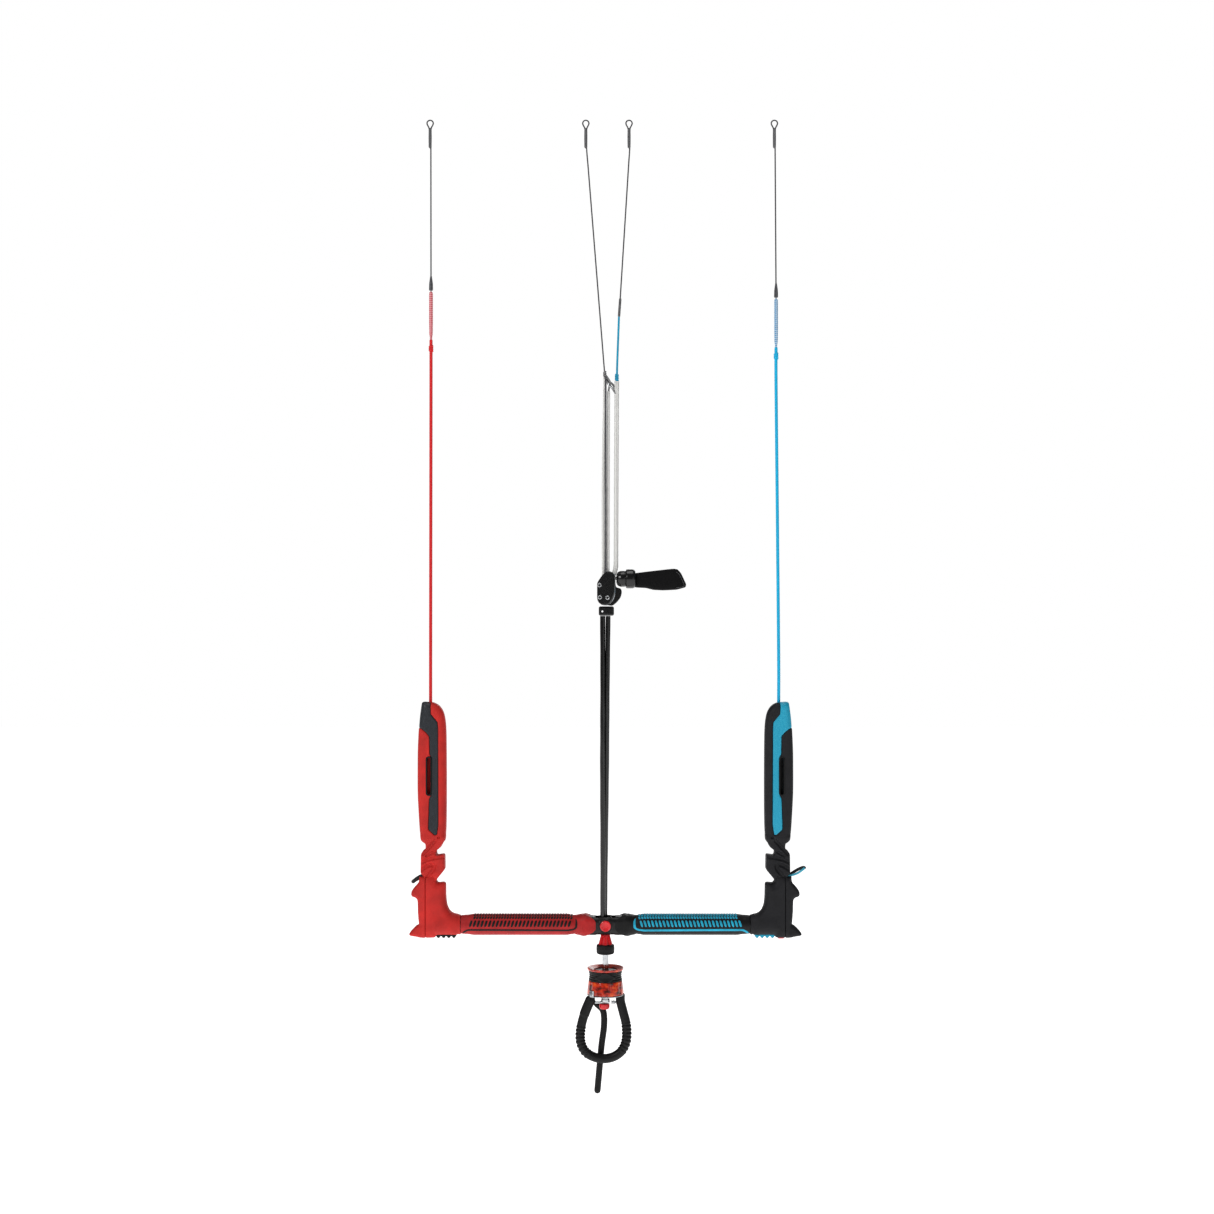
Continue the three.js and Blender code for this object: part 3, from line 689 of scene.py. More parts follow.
def flying_line(name, foot, head, node, body):
    """A thin line up to a small sewn eye: once round it and back down beside itself."""
    right, left, splice = head + 0.9, head - 0.9, EYE_CENTRE - EYE_SPLICE
    near, far = np.array(foot), np.array([right, 0, splice])
    straight = [near + (far - near) * share for share in np.linspace(0, 1, 12)[:-1]]
    angles = np.radians([-35, -5, 25, 55, 90, 125, 155, 185, 215])
    eye = [[head + EYE_RADIUS * math.cos(a), 0, EYE_CENTRE + EYE_RADIUS * math.sin(a)] for a in angles]
    profile = [[0.2, -32], [1.9, -30.5], [2.05, -18], [1.9, -7], [0.2, -5.5]]
    whipping = add(
        f"{name}_whipping",
        turned(rounded(np.array(profile) + [0, EYE_CENTRE], 0.8), 20, (head, 0)),
        "sewn_sleeve", body,
    )
    path = smooth_route([*straight, [right, 0, splice], [right, 0, EYE_CENTRE - 9], *eye,
                         [left, 0, EYE_CENTRE - 9], [left, 0, splice]], 1.5)
    free_cord(name, path, FLYING_LINE_RADIUS, "flying_line", body, node)


def front_lines():
    """Two front lines up to the kite and the safety leader that joins the right one."""
    flying_line("front_line_left_cord", (-0.8, 0, 697), -24.9, "front_line_left", "line_head")
    add("front_knot_left", wraps(-0.8, 694.6, 703, 1.35, 0.95, 3.2), "flecked_rope", "line_head")
    sleeve = tube([[17.3, 0, 772.4], [18, 0, 783], [18.8, 0, 793.7]], 1, 1.6, 12)
    add("front_sleeve_right", sleeve, "sewn_sleeve", "line_head")
    flying_line("front_line_right_cord", (17.6, 0, 776), 30, "front_line_right", "line_head")
    path = smooth_route([[14.4, 0, 688], [15, 0, 712], [16.1, 0, 742], [17.2, 0, 771.9]], 3)
    free_cord("safety_leader_cord", path, 1.3, "safety_cord", "line_head", "safety_leader")
    add("safety_leader_knot", wraps(14.5, 689.4, 699.4, 1.6, 1.1, 3.4), "safety_cord", "line_head")


def back_lines():
    """On each side a leader through the float, its knot, the pigtail sleeve and the back line."""
    for name, side in SIDES.items():
        line, body = BACK_LINES[name], f"float_{name}"
        rope_look, sleeve_look = TRIM[name]["line"], TRIM[name]["sleeve"]
        knot_x, foot_x = side * line["knot"], side * line["foot"]
        top, sleeve_top, tip_top = line["knot_top"], line["sleeve_top"], line["tip_top"]
        knot = add(f"leader_knot_{name}", wraps(knot_x, top - 9.5, top, 1.7, 1.4, 3.1), rope_look, body)
        sleeve = [[0.2, top + 0.4], [1.5, top + 1], [1.5, top + 10], [2.2, top + 13],
                  [2.45, top + 30], [2.4, sleeve_top - 2], [0.2, sleeve_top]]
        pigtail = add(f"pigtail_{name}", turned(rounded(sleeve, 2), 24, (knot_x, 0)), sleeve_look,
                      body, f"pigtail_sleeve_{name}")
        leader = [[foot_x, 0, 160], [foot_x, 0, 240], [foot_x, 0, 284], [foot_x, 0, 340],
                  [(foot_x + knot_x) / 2, 0, 520], [knot_x, 0, top - 40], [knot_x, 0, top + 6]]
        free_cord(f"leader_{name}", smooth_route(leader, 4), LEADER_RADIUS, rope_look, body,
                  f"leader_line_{name}", sides=12)
        point = [[0.2, sleeve_top + 0.2], [2.6, sleeve_top + 0.6], [2.4, sleeve_top + 9],
                 [1.1, tip_top], [0.2, tip_top + 0.4]]
        add(f"back_line_sleeve_{name}", turned(rounded(point, 1.5), 24, (knot_x, 0)), "grey_sleeve",
            body)
        flying_line(f"back_line_cord_{name}", (knot_x, 0, sleeve_top + 2), side * line["head"],
                    f"back_line_{name}", body)


front_lines()
back_lines()

# Each elastic loop leaves the outer side of the end, swings out over the horn and comes back.
# The cover lies on the loop's points from one index to another.
BUNGEES = {
    "left": {
        "route": [
            [-228.8, -4, 62.6], [-233, -4.3, 62], [-238, -4.2, 59.4], [-242.2, -3, 56.2],
            [-244.2, -0.4, 54.4], [-243, 2.4, 54.2], [-239.4, 4, 56], [-234.4, 4.3, 58.8],
            [-228.8, 4, 61],
        ],
        "cover": (0, 5), "cover_radius": 2.4, "look": "bungee_pink", "slot": "bungee_black",
    },
    "right": {
        "route": [
            [228.8, -4, 63], [235, -4.4, 62.9], [243, -4.4, 65.4], [249.6, -3.4, 69.6],
            [252.8, -0.6, 72], [251.4, 2.4, 72], [246.6, 4.2, 70], [240, 4.6, 66.2],
            [234, 4.4, 62.4], [228.8, 4, 60.8],
        ],
        "cover": (4, 10), "cover_radius": 1.9, "look": "bungee_blue", "slot": "bungee_blue",
    },
}


def bungees():
    """The elastic loops that hold the wound lines, with a thicker cover on part of each."""
    for name, loop in BUNGEES.items():
        route, body = loop["route"], f"bar_end_{name}"
        cover = add(f"bungee_cover_{name}", tube(route[slice(*loop["cover"])], 0.7,
                    loop["cover_radius"], 14), "bungee_black", body)
        free_cord(f"bungee_cord_{name}", smooth_route(route, 0.8), 1.4, loop["look"], body,
                  f"bungee_{name}")


bungees()


# ---- floats ----

FLOAT_HALF_DEPTH = 12
FLOAT_INNER_EDGE = [
    [203.6, 107], [202.3, 120], [201.8, 145], [201.7, 175], [201.8, 209], [202.3, 247],
    [204.2, 264.5], [207.4, 273.2], [212.5, 279], [220.1, 282.2], [232.8, 283.2],
]
FLOAT_OUTER_EDGE = [
    [232.8, 283.2], [235.3, 264.5], [236.7, 246.8], [237.7, 225], [238, 208.7], [238, 170.6],
    [236.9, 145], [235.3, 119.8], [233.6, 107],
]
INSERT_OUTLINE = [
    [232, 286], [221.4, 286], [221, 267.8], [212.3, 257.4], [211.7, 250], [211.3, 127.6],
    [213.1, 114.9], [216.2, 114.6], [223.8, 121.4], [224, 125], [222.8, 160.7], [220.6, 164.8],
    [220.3, 212.7], [222.4, 216.9], [222.8, 239.5], [227.6, 245.1], [233.7, 249.6],
    [242, 250.5], [242, 286],
]
NECK_OUTLINE = [
    [205, 112], [205.6, 105], [208, 99.5], [214.5, 94.6], [214, 88], [203.8, 89.6], [203.5, 70.5],
    [214.6, 57], [214.4, 49], [229, 49], [229.5, 61], [234, 66], [233.6, 90], [231.6, 93.6],
    [227.4, 96.2], [227.6, 103.6], [231, 105.4], [232, 112],
]
# Moulded folds of the neck: grooves between its slanting ribs, as routes and half widths.
NECK_FOLDS = [
    ([[231, 91], [222.5, 99.5], [215, 108], [213, 116]], 2.6),
    ([[226, 88.4], [219, 92.6], [211, 97]], 2.1),
    ([[234, 79.4], [226, 83.4], [214, 86], [202, 87.6]], 2.5),
    ([[234, 70], [226, 75.4], [220, 77.6], [216.4, 75.6], [217.4, 71.4], [224, 63], [229, 56]], 2.7),
    ([[214.6, 56.5], [219.6, 61.6], [222, 58]], 2.1),
]
SLOT_MIDDLE, SLOT_HALF_WIDTH = 223.25, 2.95
SLOT_LOW, SLOT_HIGH = 165 + SLOT_HALF_WIDTH, 213.4 - SLOT_HALF_WIDTH  # middles of its round ends
SLOT_WEB = 1.2  # half thickness of the skin left in the middle of the slot, which holds the line
NECK_TOP = 93  # above this the neck is part of the float's own moulding
NECK_HALF_DEPTH, FOLD_DEPTH = 11.4, 11.6
NECK_BEND = (56, 91)  # two heights on the neck
EDGES = [[[a, 0, b] for a, b in edge] for edge in (FLOAT_INNER_EDGE, FLOAT_OUTER_EDGE)]
FLOAT_OUTLINE = np.vstack([smooth_route(EDGES[0], 4), smooth_route(EDGES[1], 4)[1:]])[:, [0, 2]]


def slot_distance(reach, y, z, grow=0.0):
    """The round-ended slot through which the leader line shows, cut from both faces."""
    beyond = np.maximum(np.maximum(SLOT_LOW - z, z - SLOT_HIGH), 0)
    slot = np.hypot(reach - SLOT_MIDDLE, beyond) - SLOT_HALF_WIDTH - grow
    return np.maximum(slot, SLOT_WEB - np.abs(y))


def float_form(reach, y, z):
    """The whole float, and the distance to the pocket for its insert."""
    form = slab(outline_distance(FLOAT_OUTLINE, reach, z, 6), y, FLOAT_HALF_DEPTH, 8)
    return form, outline_distance(INSERT_OUTLINE, reach, z, 2)


def neck_form(reach, y, z):
    """The neck with its slanting folds sunk into both faces."""
    form = slab(outline_distance(NECK_OUTLINE, reach, z, 6), y, NECK_HALF_DEPTH, 3.6)
    for route, width in NECK_FOLDS:
        groove = np.hypot(route_distance(route, reach, z), np.maximum(FOLD_DEPTH - np.abs(y), 0))
        form = -fuse(-form, groove - width, 0.5)
    return form


def float_shell(reach, y, z):
    """The foam of a float, with the pocket for its insert, the slot and a small dimple."""
    form, pocket = float_form(reach, y, z)
    root = np.maximum(neck_form(reach, y, z) - 0.15, NECK_TOP - z)
    form = fuse(form, root, 5) + 0.5 * np.exp(-((pocket / 0.8) ** 2))
    dimple = 1.9 - np.sqrt((reach - 211.2) ** 2 + (z - 111.5) ** 2 + (np.abs(y) - 12) ** 2)
    return overlap(form, 0.15 - pocket, -slot_distance(reach, y, z), dimple)


def float_insert(reach, y, z):
    """The coloured insert, a hair below the foam around it."""
    form, pocket = float_form(reach, y, z)
    form = form + 0.35 + 0.4 * np.exp(-((pocket / 0.8) ** 2))
    edge = pocket + np.where(np.abs(y) < FLOAT_HALF_DEPTH - 3, -0.2, 0.15)
    return overlap(form, edge, -slot_distance(reach, y, z, 0.2))


def float_neck(reach, y, z):
    """The folded neck, from inside the winder end to inside the float."""
    return np.maximum(neck_form(reach, y, z), z - NECK_TOP - 6)


def slot_shade_rim(side):
    """A black bead round each mouth of the slot: painted shade of the slot's walls."""
    turn = np.linspace(0, math.pi, 9)
    arc = np.column_stack([np.cos(turn), np.sin(turn)]) * SLOT_HALF_WIDTH
    upper = arc + [SLOT_MIDDLE, SLOT_HIGH]
    lower = arc * [-1, -1] + [SLOT_MIDDLE, SLOT_LOW]
    loop = np.insert(np.vstack([upper, lower, upper[:2]]), 1, 11.7, axis=1)
    return merged([sweep(loop * [side, face, 1], 1.0, 10) for face in (-1, 1)])


def floats():
    for name, side in SIDES.items():
        look, body = TRIM[name]["foam"], f"float_{name}"
        shell = carved_side(side, float_shell, (201, -12.5, 92), (239, 12.5, 284), 0.7)
        add(f"float_foam_{name}", shell, look, body, f"float_shell_{name}")
        insert = carved_side(side, float_insert, (210, -12.5, 113), (239, 12.5, 284), 0.75)
        add(f"float_inlay_{name}", insert, TRIM[name]["insert"], body, f"float_insert_{name}")
        # The black bead round the slot's mouth is painted shade, where the slot's walls fall into
        # shadow.
        add(f"float_slot_shade_rim_{name}", slot_shade_rim(side), "black_rubber", body)
        folds = carved_side(side, float_neck, (203, -12, 48.5), (235, 12, 99.5), 0.6)
        neck = add(f"float_neck_{name}", folds, look, None)
        start, end = to_frame([[side * 219, 0, height] for height in NECK_BEND])
        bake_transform(neck)


floats()


# ---- winder ends ----

SEAM_REACH = 227.7
END_OUTLINE = [
    [188, -11.4], [188.5, 11.6], [191.5, 12], [195, 14.6], [198.6, 18.9], [200.9, 24.6],
    [201.9, 31], [202.3, 38], [202.5, 52.6], [204, 54], [212.6, 53], [215.6, 56.6], [222, 62],
    [SEAM_REACH, 62], [SEAM_REACH + 12, 62], [SEAM_REACH + 12, -14.8],
    [219, -14.4], [216.5, -11.6], [204, -11],
]
WINDER_OUTLINE = [
    [215, 62], [229, 61.4], [243.1, 46.6], [245.6, 43], [246.2, 38.4], [244.6, 36], [240.4, 35],
    [238.2, 32.6], [237.7, 28], [237.5, 18], [236.6, 8], [235, 0.4], [236.6, -0.6], [239.8, -1.4],
    [245.5, -7], [249.4, -11.6], [247.9, -13.3], [231.6, -15.9], [215, -15.4],
]
END_HALF_DEPTH, WINDER_HALF_DEPTH = 13, 11
COLLAR_RADIUS, COLLAR_START, COLLAR_END = 12, 183.8, 214
TUBE_ROOM = 9.7  # radius of the hollow for the bar tube
WINDER_STUDS = (30.9, 14.4)
TAB_RIBS = (192, 198.5, 205, 211.5)


def end_form(reach, y, z):
    """The winder end as one moulding, before the seam splits it in two."""
    inner = np.maximum(outline_distance(END_OUTLINE, reach, z, 6), reach - 236)
    wings = slab(outline_distance(WINDER_OUTLINE, reach, z, 4), y, WINDER_HALF_DEPTH, 4.5)
    middle, half = (COLLAR_START + COLLAR_END) / 2, (COLLAR_END - COLLAR_START) / 2
    collar = cylinder(y, z, COLLAR_RADIUS, reach - middle, half)
    crease = 0.7 * np.exp(-(((reach - SEAM_REACH) / 0.7) ** 2))
    return fuse(fuse(slab(inner, y, END_HALF_DEPTH, 9), collar, 7), wings, 3) + crease


def end_body(reach, y, z):
    """The inner part, hollow for the bar tube and open below for the thumb tab."""
    lap = np.where(np.abs(y) < 9, -0.3, 0.15)
    hollow = np.maximum(np.hypot(y, z) - TUBE_ROOM, reach - 221)
    pocket = box_distance((186, -6.9, -40), (216.8, 6.9, -11.2), reach, y, z)
    return overlap(end_form(reach, y, z), reach - SEAM_REACH + lap, -hollow, -pocket)


def right_end_body(reach, y, z):
    """The right end also has a window for the lock button."""
    window = box_distance((218.2, -4.3, -40), (226.9, 4.3, -12.3), reach, y, z)
    return np.maximum(end_body(reach, y, z), -window)


def end_winder(reach, y, z):
    """The outer part that the lines wind on, with two small round studs sunk in each face."""
    form = np.maximum(end_form(reach, y, z), SEAM_REACH + 0.15 - reach)
    for height in WINDER_STUDS:
        spot = np.sqrt((reach - 232.8) ** 2 + (z - height) ** 2 + (np.abs(y) - 13) ** 2)
        form = np.maximum(form, 1.5 - spot)
    return form


def width_tab(reach, y, z):
    """The ribbed thumb tab under the end."""
    form = box_distance((188.9, -6.5, -14.2), (216, 6.5, -10.7), reach, y, z, 1.0)
    for rib in TAB_RIBS:
        form = fuse(form, cylinder(reach - rib, z + 14.2, 2.1, y, 6.4), 0.8)
    return form


def winder_ends():
    for name, side in SIDES.items():
        trim, body = TRIM[name], f"bar_end_{name}"
        inner_field = right_end_body if side > 0 else end_body
        inner = carved_side(side, inner_field, (183, -13.5, -16), (228, 13.5, 63), 0.7)
        add(f"end_moulding_{name}", inner, trim["foam"], body, f"bar_end_{name}")
        outer = carved_side(side, end_winder, (227, -13.5, -17), (250, 13.5, 63), 0.7)
        add(f"winder_moulding_{name}", outer, trim["foam"], body, f"line_winder_{name}")
        tab = carved_side(side, width_tab, (188, -7, -16.8), (217, 7, -10.2), 0.35)
        add(f"thumb_pad_{name}", tab, trim["accent"], f"thumb_tab_{name}", f"width_tab_{name}")


def lock_button(x, y, z):
    return box_distance((218.5, -4.4, -17.6), (226.6, 4.4, -12.6), x, y, z, 1.2)


winder_ends()
add("lock_button_pad", carved(lock_button, (218, -5, -18.2), (227, 5, -12), 0.3), "red_plastic",
    "bar_end_right", "lock_button_right")


# ---- hub and grips ----

HUB_OUTLINE = [
    [-27, -12.6], [27, -12.6], [27, 11.8], [21, 11.2], [15, 10.8], [9, 11.4], [4, 12.6], [0, 12.8],
    [-4, 12.2], [-9, 11], [-15, 10.8], [-21, 11.2], [-27, 11.8],
]
HUB_HALF_LENGTH, HUB_HALF_DEPTH = 26.4, 12.8
BOSS_RADIUS, BOSS_FACE = 8.4, 13.3
RING_GROOVE = 7.7  # radius of the groove round each cap
BARREL_RADIUS, BARREL_BORE, PIVOT_RADIUS = 11.5, 7.6, 3.6
CAP_RADIUS, CAP_FACE, CAP_RIM = 6.9, 13.5, 15
GRIP_RADIUS = 13.3
GRIP_PROFILE = [
    (10, 13.6), (25, 13.4), (37, 11.4), (43, 12.4), (49, GRIP_RADIUS), (166, GRIP_RADIUS),
    (176, 12.2), (184, 11.6),
]
GRIP_END = 183.2
TONGUE_OUTLINE = [
    [8, -13.2], [24.8, -14.4], [37, -11.7], [37, 10.8], [24.8, 13.4], [21, 12.4], [15, 11.7], [8, 12.2],
]
TONGUE_DEPTH = [(25, 14), (37, 11.2)]  # half depth by reach


def ease_table(value, table):
    """Smooth steps between the heights of a table of (place, height)."""
    places, heights = np.array(table).T
    index = np.clip(np.searchsorted(places, value) - 1, 0, len(places) - 2)
    share = np.clip((value - places[index]) / (places[index + 1] - places[index]), 0, 1)
    share = share * share * (3 - 2 * share)
    return heights[index] + (heights[index + 1] - heights[index]) * share


def hub_form(x, y, z):
    """The hub's outer skin, without its slot."""
    return slab(outline_distance(HUB_OUTLINE, x, z), y, HUB_HALF_DEPTH, 7.5)


def hub(x, y, z):
    """The hub with its slot from top to bottom, and a boss and ring groove at each cap."""
    form = np.maximum(hub_form(x, y, z), np.abs(x) - HUB_HALF_LENGTH)
    form = fuse(form, cylinder(x, z, BOSS_RADIUS, y, BOSS_FACE), 1.5)
    ring = np.hypot(np.hypot(x, z) - RING_GROOVE, np.maximum(13.6 - np.abs(y), 0)) - 0.7
    slot = box_distance((-12.5, -9, -60), (12.5, 9, 60), x, y, z, 2.5)
    return overlap(form, -fuse(slot, np.maximum(slot - 3, 10.5 - z), 2), -ring)


def hub_barrel(x, y, z):
    """The barrel that slides on the centre line, bored for the two strands."""
    barrel = cylinder(x, z, BARREL_RADIUS, y, 8.7)
    barrel = fuse(barrel, cylinder(x, z, PIVOT_RADIUS, y, 13.2), 1)
    mouth = 9.4 - np.hypot(x, y) - np.maximum(10.6 - np.abs(z), 0) * 0.9
    return overlap(barrel, BARREL_BORE - np.hypot(x, y), mouth)


def hub_caps():
    """Red domed caps with a shallow dished middle."""
    profile = rounded([
        [0.1, CAP_FACE], [CAP_RADIUS, CAP_FACE], [CAP_RADIUS, CAP_RIM], [5.9, 15.7], [4.6, 15.5],
        [0.1, 15.1],
    ], 0.6)
    for name, face in (("front", -1), ("back", 1)):
        add(f"hub_button_{name}", turned(profile * [1, face], 56, axis="y"), "red_plastic", "bar",
            f"hub_cap_{name}")


def grip(reach, y, z):
    """A moulded grip whose rounded tongue laps over the hub on both faces."""
    barrel = np.maximum(np.hypot(y, z) - ease_table(reach, GRIP_PROFILE), reach - GRIP_END)
    tip = 11.4 + 13 * (np.abs(z - 0.4) / 13) ** 2.6
    lap = slab(outline_distance(TONGUE_OUTLINE, reach, z), y, ease_table(reach, TONGUE_DEPTH), 8)
    return np.maximum(fuse(np.maximum(barrel, 31 - reach), lap, 4), tip - reach)


def clear_of_hub(side):
    """The grip on one side, cut away where the hub is."""
    def field(reach, y, z):
        x = side * reach
        hub_room = np.maximum(hub_form(x, y, z) - 0.08, np.abs(x) - HUB_HALF_LENGTH - 0.2)
        return np.maximum(grip(reach, y, z), -hub_room)
    return field


def on_grip(side, reach, angle, lift):
    """A point on the grip: the angle is 0 at the front, positive upwards."""
    radius = ease_table(reach, GRIP_PROFILE) + lift
    return np.stack([side * reach, -radius * np.cos(angle), radius * np.sin(angle)], -1)


def stud(side, reach, angle, half_length, half_width, lean, height):
    """A small raised dash on the grip, long across the bar and leaning along it."""
    long_way, short_way = (
        np.sign(wave) * np.abs(wave) ** 0.7 for wave in (np.cos(circle(12)), np.sin(circle(12)))
    )
    rings = []
    for scale, lift in ((1.0, -0.5), (1.0, 0.45 * height), (0.72, height), (0.1, height)):
        up = long_way * half_length * scale
        out = short_way * half_width * scale - lean * up / half_length * scale
        rings.append(on_grip(side, reach + out, math.radians(angle) + up / GRIP_RADIUS, lift))
    return ring_mesh(np.array(rings), [0, 1, 2, 3])


def band(side, route, half_width, height):
    """A raised line along a route of (reach, angle) on the grip."""
    flat = [[reach, math.radians(angle) * GRIP_RADIUS, 0] for reach, angle in route]
    path = smooth_route(flat, 1.2)
    along = np.gradient(path, axis=0)
    along /= np.linalg.norm(along, axis=1)[:, None]
    square = np.stack([-along[:, 1], along[:, 0]], 1)
    half = [(1, -0.5), (1, height * 0.5), (0.7, height)]
    rings = []
    for offset, lift in [(-offset, lift) for offset, lift in half] + half[::-1]:
        spot = path[:, :2] + square * half_width * offset
        rings.append(on_grip(side, spot[:, 0], spot[:, 1] / GRIP_RADIUS, lift))
    return ring_mesh(np.stack(rings, 1), lengths(path))


DASHES, DASH_PITCH, DASH_START, DASH_ANGLE = 27, 4.8, 45.4, 13
FINE_COLUMNS, FINE_PITCH, FINE_START, FINE_ANGLES = 36, 3.5, 43, (49, 71)
BORDER_ROUTE = [
    (180.5, -52), (176.5, -33), (171.5, -24), (160, -22.5), (110, -23.5), (60, -25), (46, -25),
    (40.5, -22), (37.4, -12), (36.8, 4), (36.6, 28), (36.8, 62), (37, 90),
]


def grip_pattern(side):
    """Dashes, fine rows and a border on both faces, so that the grip feels the same from behind."""
    shapes = []
    for way in (1, -1):
        turn = 90 - 90 * way
        for k in range(DASHES):
            angle = turn + way * DASH_ANGLE
            shapes.append(stud(side, DASH_START + k * DASH_PITCH, angle, 4.3, 1.5, way * 1.2, 0.45))
        for k in range(FINE_COLUMNS):
            for row in FINE_ANGLES:
                reach, angle = FINE_START + k * FINE_PITCH, turn + way * row
                shapes.append(stud(side, reach, angle, 2.2, 1.3, way * 0.7, 0.5))
        border = [(reach, turn + way * angle) for reach, angle in BORDER_ROUTE]
        shapes.append(band(side, border, 1.25 if side < 0 else 1.5, 0.45))
    return merged(shapes)


def bar_tubes():
    profile = rounded([[7.5, 26], [9.5, 26], [9.5, 221.4], [9.1, 222], [7.5, 222]], 0.4)
    profile = np.vstack([profile, profile[:1]])
    for name, side in SIDES.items():
        mesh = turned(profile * [1, side], 48, axis="x", hollow=True)
        add(f"bar_core_{name}", mesh, "bar_tube", "bar", f"bar_tube_{name}")


def grips():
    for name, side in SIDES.items():
        mesh = carved_side(side, clear_of_hub(side), (10, -15.2, -15.2), (184, 15.2, 15.2), 0.55)
        add(f"grip_moulding_{name}", mesh, TRIM[name]["rubber"], "bar", f"grip_{name}")
        add(f"grip_pattern_{name}", grip_pattern(side), TRIM[name]["accent"], "bar")


add("hub_moulding", carved(hub, (-27, -14, -14), (27, 14, 14), 0.45), "black_plastic", "bar",
    "bar_hub")
add("hub_barrel", carved(hub_barrel, (-12, -13.5, -12), (12, 13.5, 12), 0.6), "black_plastic",
    "hub_slider", "hub_insert")
hub_caps()
bar_tubes()
grips()


# ---- centre lines, cleat and trim ----

TRIM_FOOT, TRIM_TRAVEL = 441, 150  # the ropes' feet in the cleat, and how far they shorten
ROPE_RADIUS, BRAID_PITCH = 1.9, 3.4
TOGGLE_HEIGHT = 438.8
TRIM_ROPES = {
    "left": ("trim_line_left", ROPE_RADIUS, [[-2.6, 0, TRIM_FOOT], [-2.7, 0, 560], [-0.8, 0, 694.9]]),
    "middle": ("trim_line_middle", ROPE_RADIUS, [[3.4, 0, TRIM_FOOT], [3.6, 0, 560], [4, 0, 677]]),
    "right": ("trim_line_right", 2.9, [
        [8.6, 0, TRIM_FOOT], [11.4, 0, 446.6], [13.1, 0, 454], [13.4, 0, 466], [13.8, 0, 560],
        [14.4, 0, 689.6],
    ]),
    "safety": ("safety_line", 1.1, [
        [0.4, -3.4, TRIM_FOOT], [0.4, -3.4, 560], [0.4, -3.2, 694.9],
    ]),
}


def braided(route, radius, depth):
    """A rope with the crossings of its braid modelled."""
    def size(along, angle):
        turn = 2 * math.pi * along / BRAID_PITCH
        crossing = np.sin(4 * angle + turn) * np.sin(4 * angle - turn)
        return radius - depth + depth * 2 * np.abs(crossing)
    return tube(route, 0.8, size, 24, False)


def trim_ropes():
    """The ropes between the cleat and the knots above."""
    for name, (node, radius, route) in TRIM_ROPES.items():
        look, slot = ("grey_sleeve", "flying_line") if name == "safety" else ("trim_rope", None)
        piece = add(f"trim_rope_{name}", braided(route, radius, radius * 0.06), look, "line_head",
                    node, sharp=80)
        tuple(to_frame(route[-1]))
        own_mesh(piece)


LASHINGS = [
    [[-0.8, -1, 694], [1.5, -2.4, 689], [5, -2.6, 685], [9, -1.8, 680], [12.8, -1.4, 674]],
    [[-0.4, 1, 693], [3.6, 1.8, 690.5], [8, 2.2, 687], [12, 2, 682], [14.2, 1.6, 677]],
    [[3.9, 0, 676], [4.6, -1.6, 681], [6, -1.8, 687], [4, -1.8, 692], [0.5, -1.4, 697]],
]


def head_knots():
    """Where the ropes meet the front lines: a steel ring and the flecked lashings through it."""
    add("trim_ring_polished", torus((7.2, 0, 685), 5, 1.2, (0.62, -0.5, 0.6)), "steel", "line_head",
        "trim_ring")
    add("head_lashings", merged([tube(route, 0.8, 1.25, 12) for route in LASHINGS]),
        "flecked_rope", "line_head")


CLEAT_OUTLINE = [
    [4.8, 448.6], [8.8, 447], [11.2, 443.1], [11.6, 431], [11.2, 420.1], [8.6, 412.6], [3.6, 406.5],
    [-1.6, 406.3], [-6.7, 406.9], [-9.4, 409.8], [-10.5, 413.4], [-10.5, 433.7], [-5, 442.2],
    [0, 447],
]
CLEAT_FRAME_OUTLINE = [
    [4.8, 448], [9.6, 446.6], [12.6, 442.6], [12.8, 431], [12.4, 419], [9.6, 411], [4.2, 405.2],
    [-1.4, 405], [-6.2, 406.2], [-9, 409.6], [-9.8, 413.6], [-9.8, 433.3], [-4.8, 441.4], [0, 446.4],
]
CLEAT_BACK_OUTLINE = [
    [4.8, 448.6], [9.4, 446.6], [11.8, 443.1], [13.4, 428], [20, 426.6], [21, 421.4], [19.4, 415],
    [14.6, 409], [9, 404.4], [-1.6, 405.8], [-6.7, 406.9], [-10.5, 413.4], [-10.5, 433.7],
    [-5, 442.2],
]
CLEAT_OUTER, CLEAT_INNER, FRAME_FACE = 9.1, 6.1, 5.8  # half depths of the plates and the frame
CLEAT_RIVETS = [(-7.4, 430.8), (-7, 415.4), (2.7, 414.9)]


def cleat():
    """The alloy trim cleat: two black plates, the steel body between them and three rivets."""
    add("cleat_face", plate(CLEAT_OUTLINE, -CLEAT_OUTER, -CLEAT_INNER, 0.9), "cleat_black",
        "centre_line", "cleat_plate_front", sharp=25)
    add("cleat_body", plate(CLEAT_FRAME_OUTLINE, -FRAME_FACE, FRAME_FACE, 0.5), "steel",
        "centre_line", "cleat_frame", sharp=25)
    add("cleat_backing", plate(CLEAT_BACK_OUTLINE, CLEAT_INNER, CLEAT_OUTER, 0.9), "cleat_black",
        "centre_line", "cleat_plate_back", sharp=25)
    back = rounded([[1.0, 9.0], [1.3, 9.9], [2.3, 10], [2.8, 9.6], [2.8, 9.1], [2.2, 9.1]], 0.3)
    front = rounded([
        [2.2, -9.1], [2.8, -9.1], [2.8, -9.6], [2.3, -10], [1.3, -9.9], [1.0, -9.0], [0.1, -9],
    ], 0.3)
    profile = np.vstack([[[0.1, 9]], back, front])
    # The black hex disc in each rivet head's hollow is painted shade of its hex socket.
    socket = np.array([[0.1, 8.95], [0.95, 8.95], [0.95, 9.35], [0.1, 9.35]])
    for k, centre in enumerate(CLEAT_RIVETS, 1):
        add(f"cleat_stud_{k}", turned(profile, 32, centre, "y"), "steel", "centre_line",
            f"cleat_rivet_{k}")
        socket_shades = [turned(socket * [1, face], 6, centre, "y") for face in (-1, 1)]
        add(f"cleat_socket_shade_{k}", merged(socket_shades), "cleat_black", "centre_line")


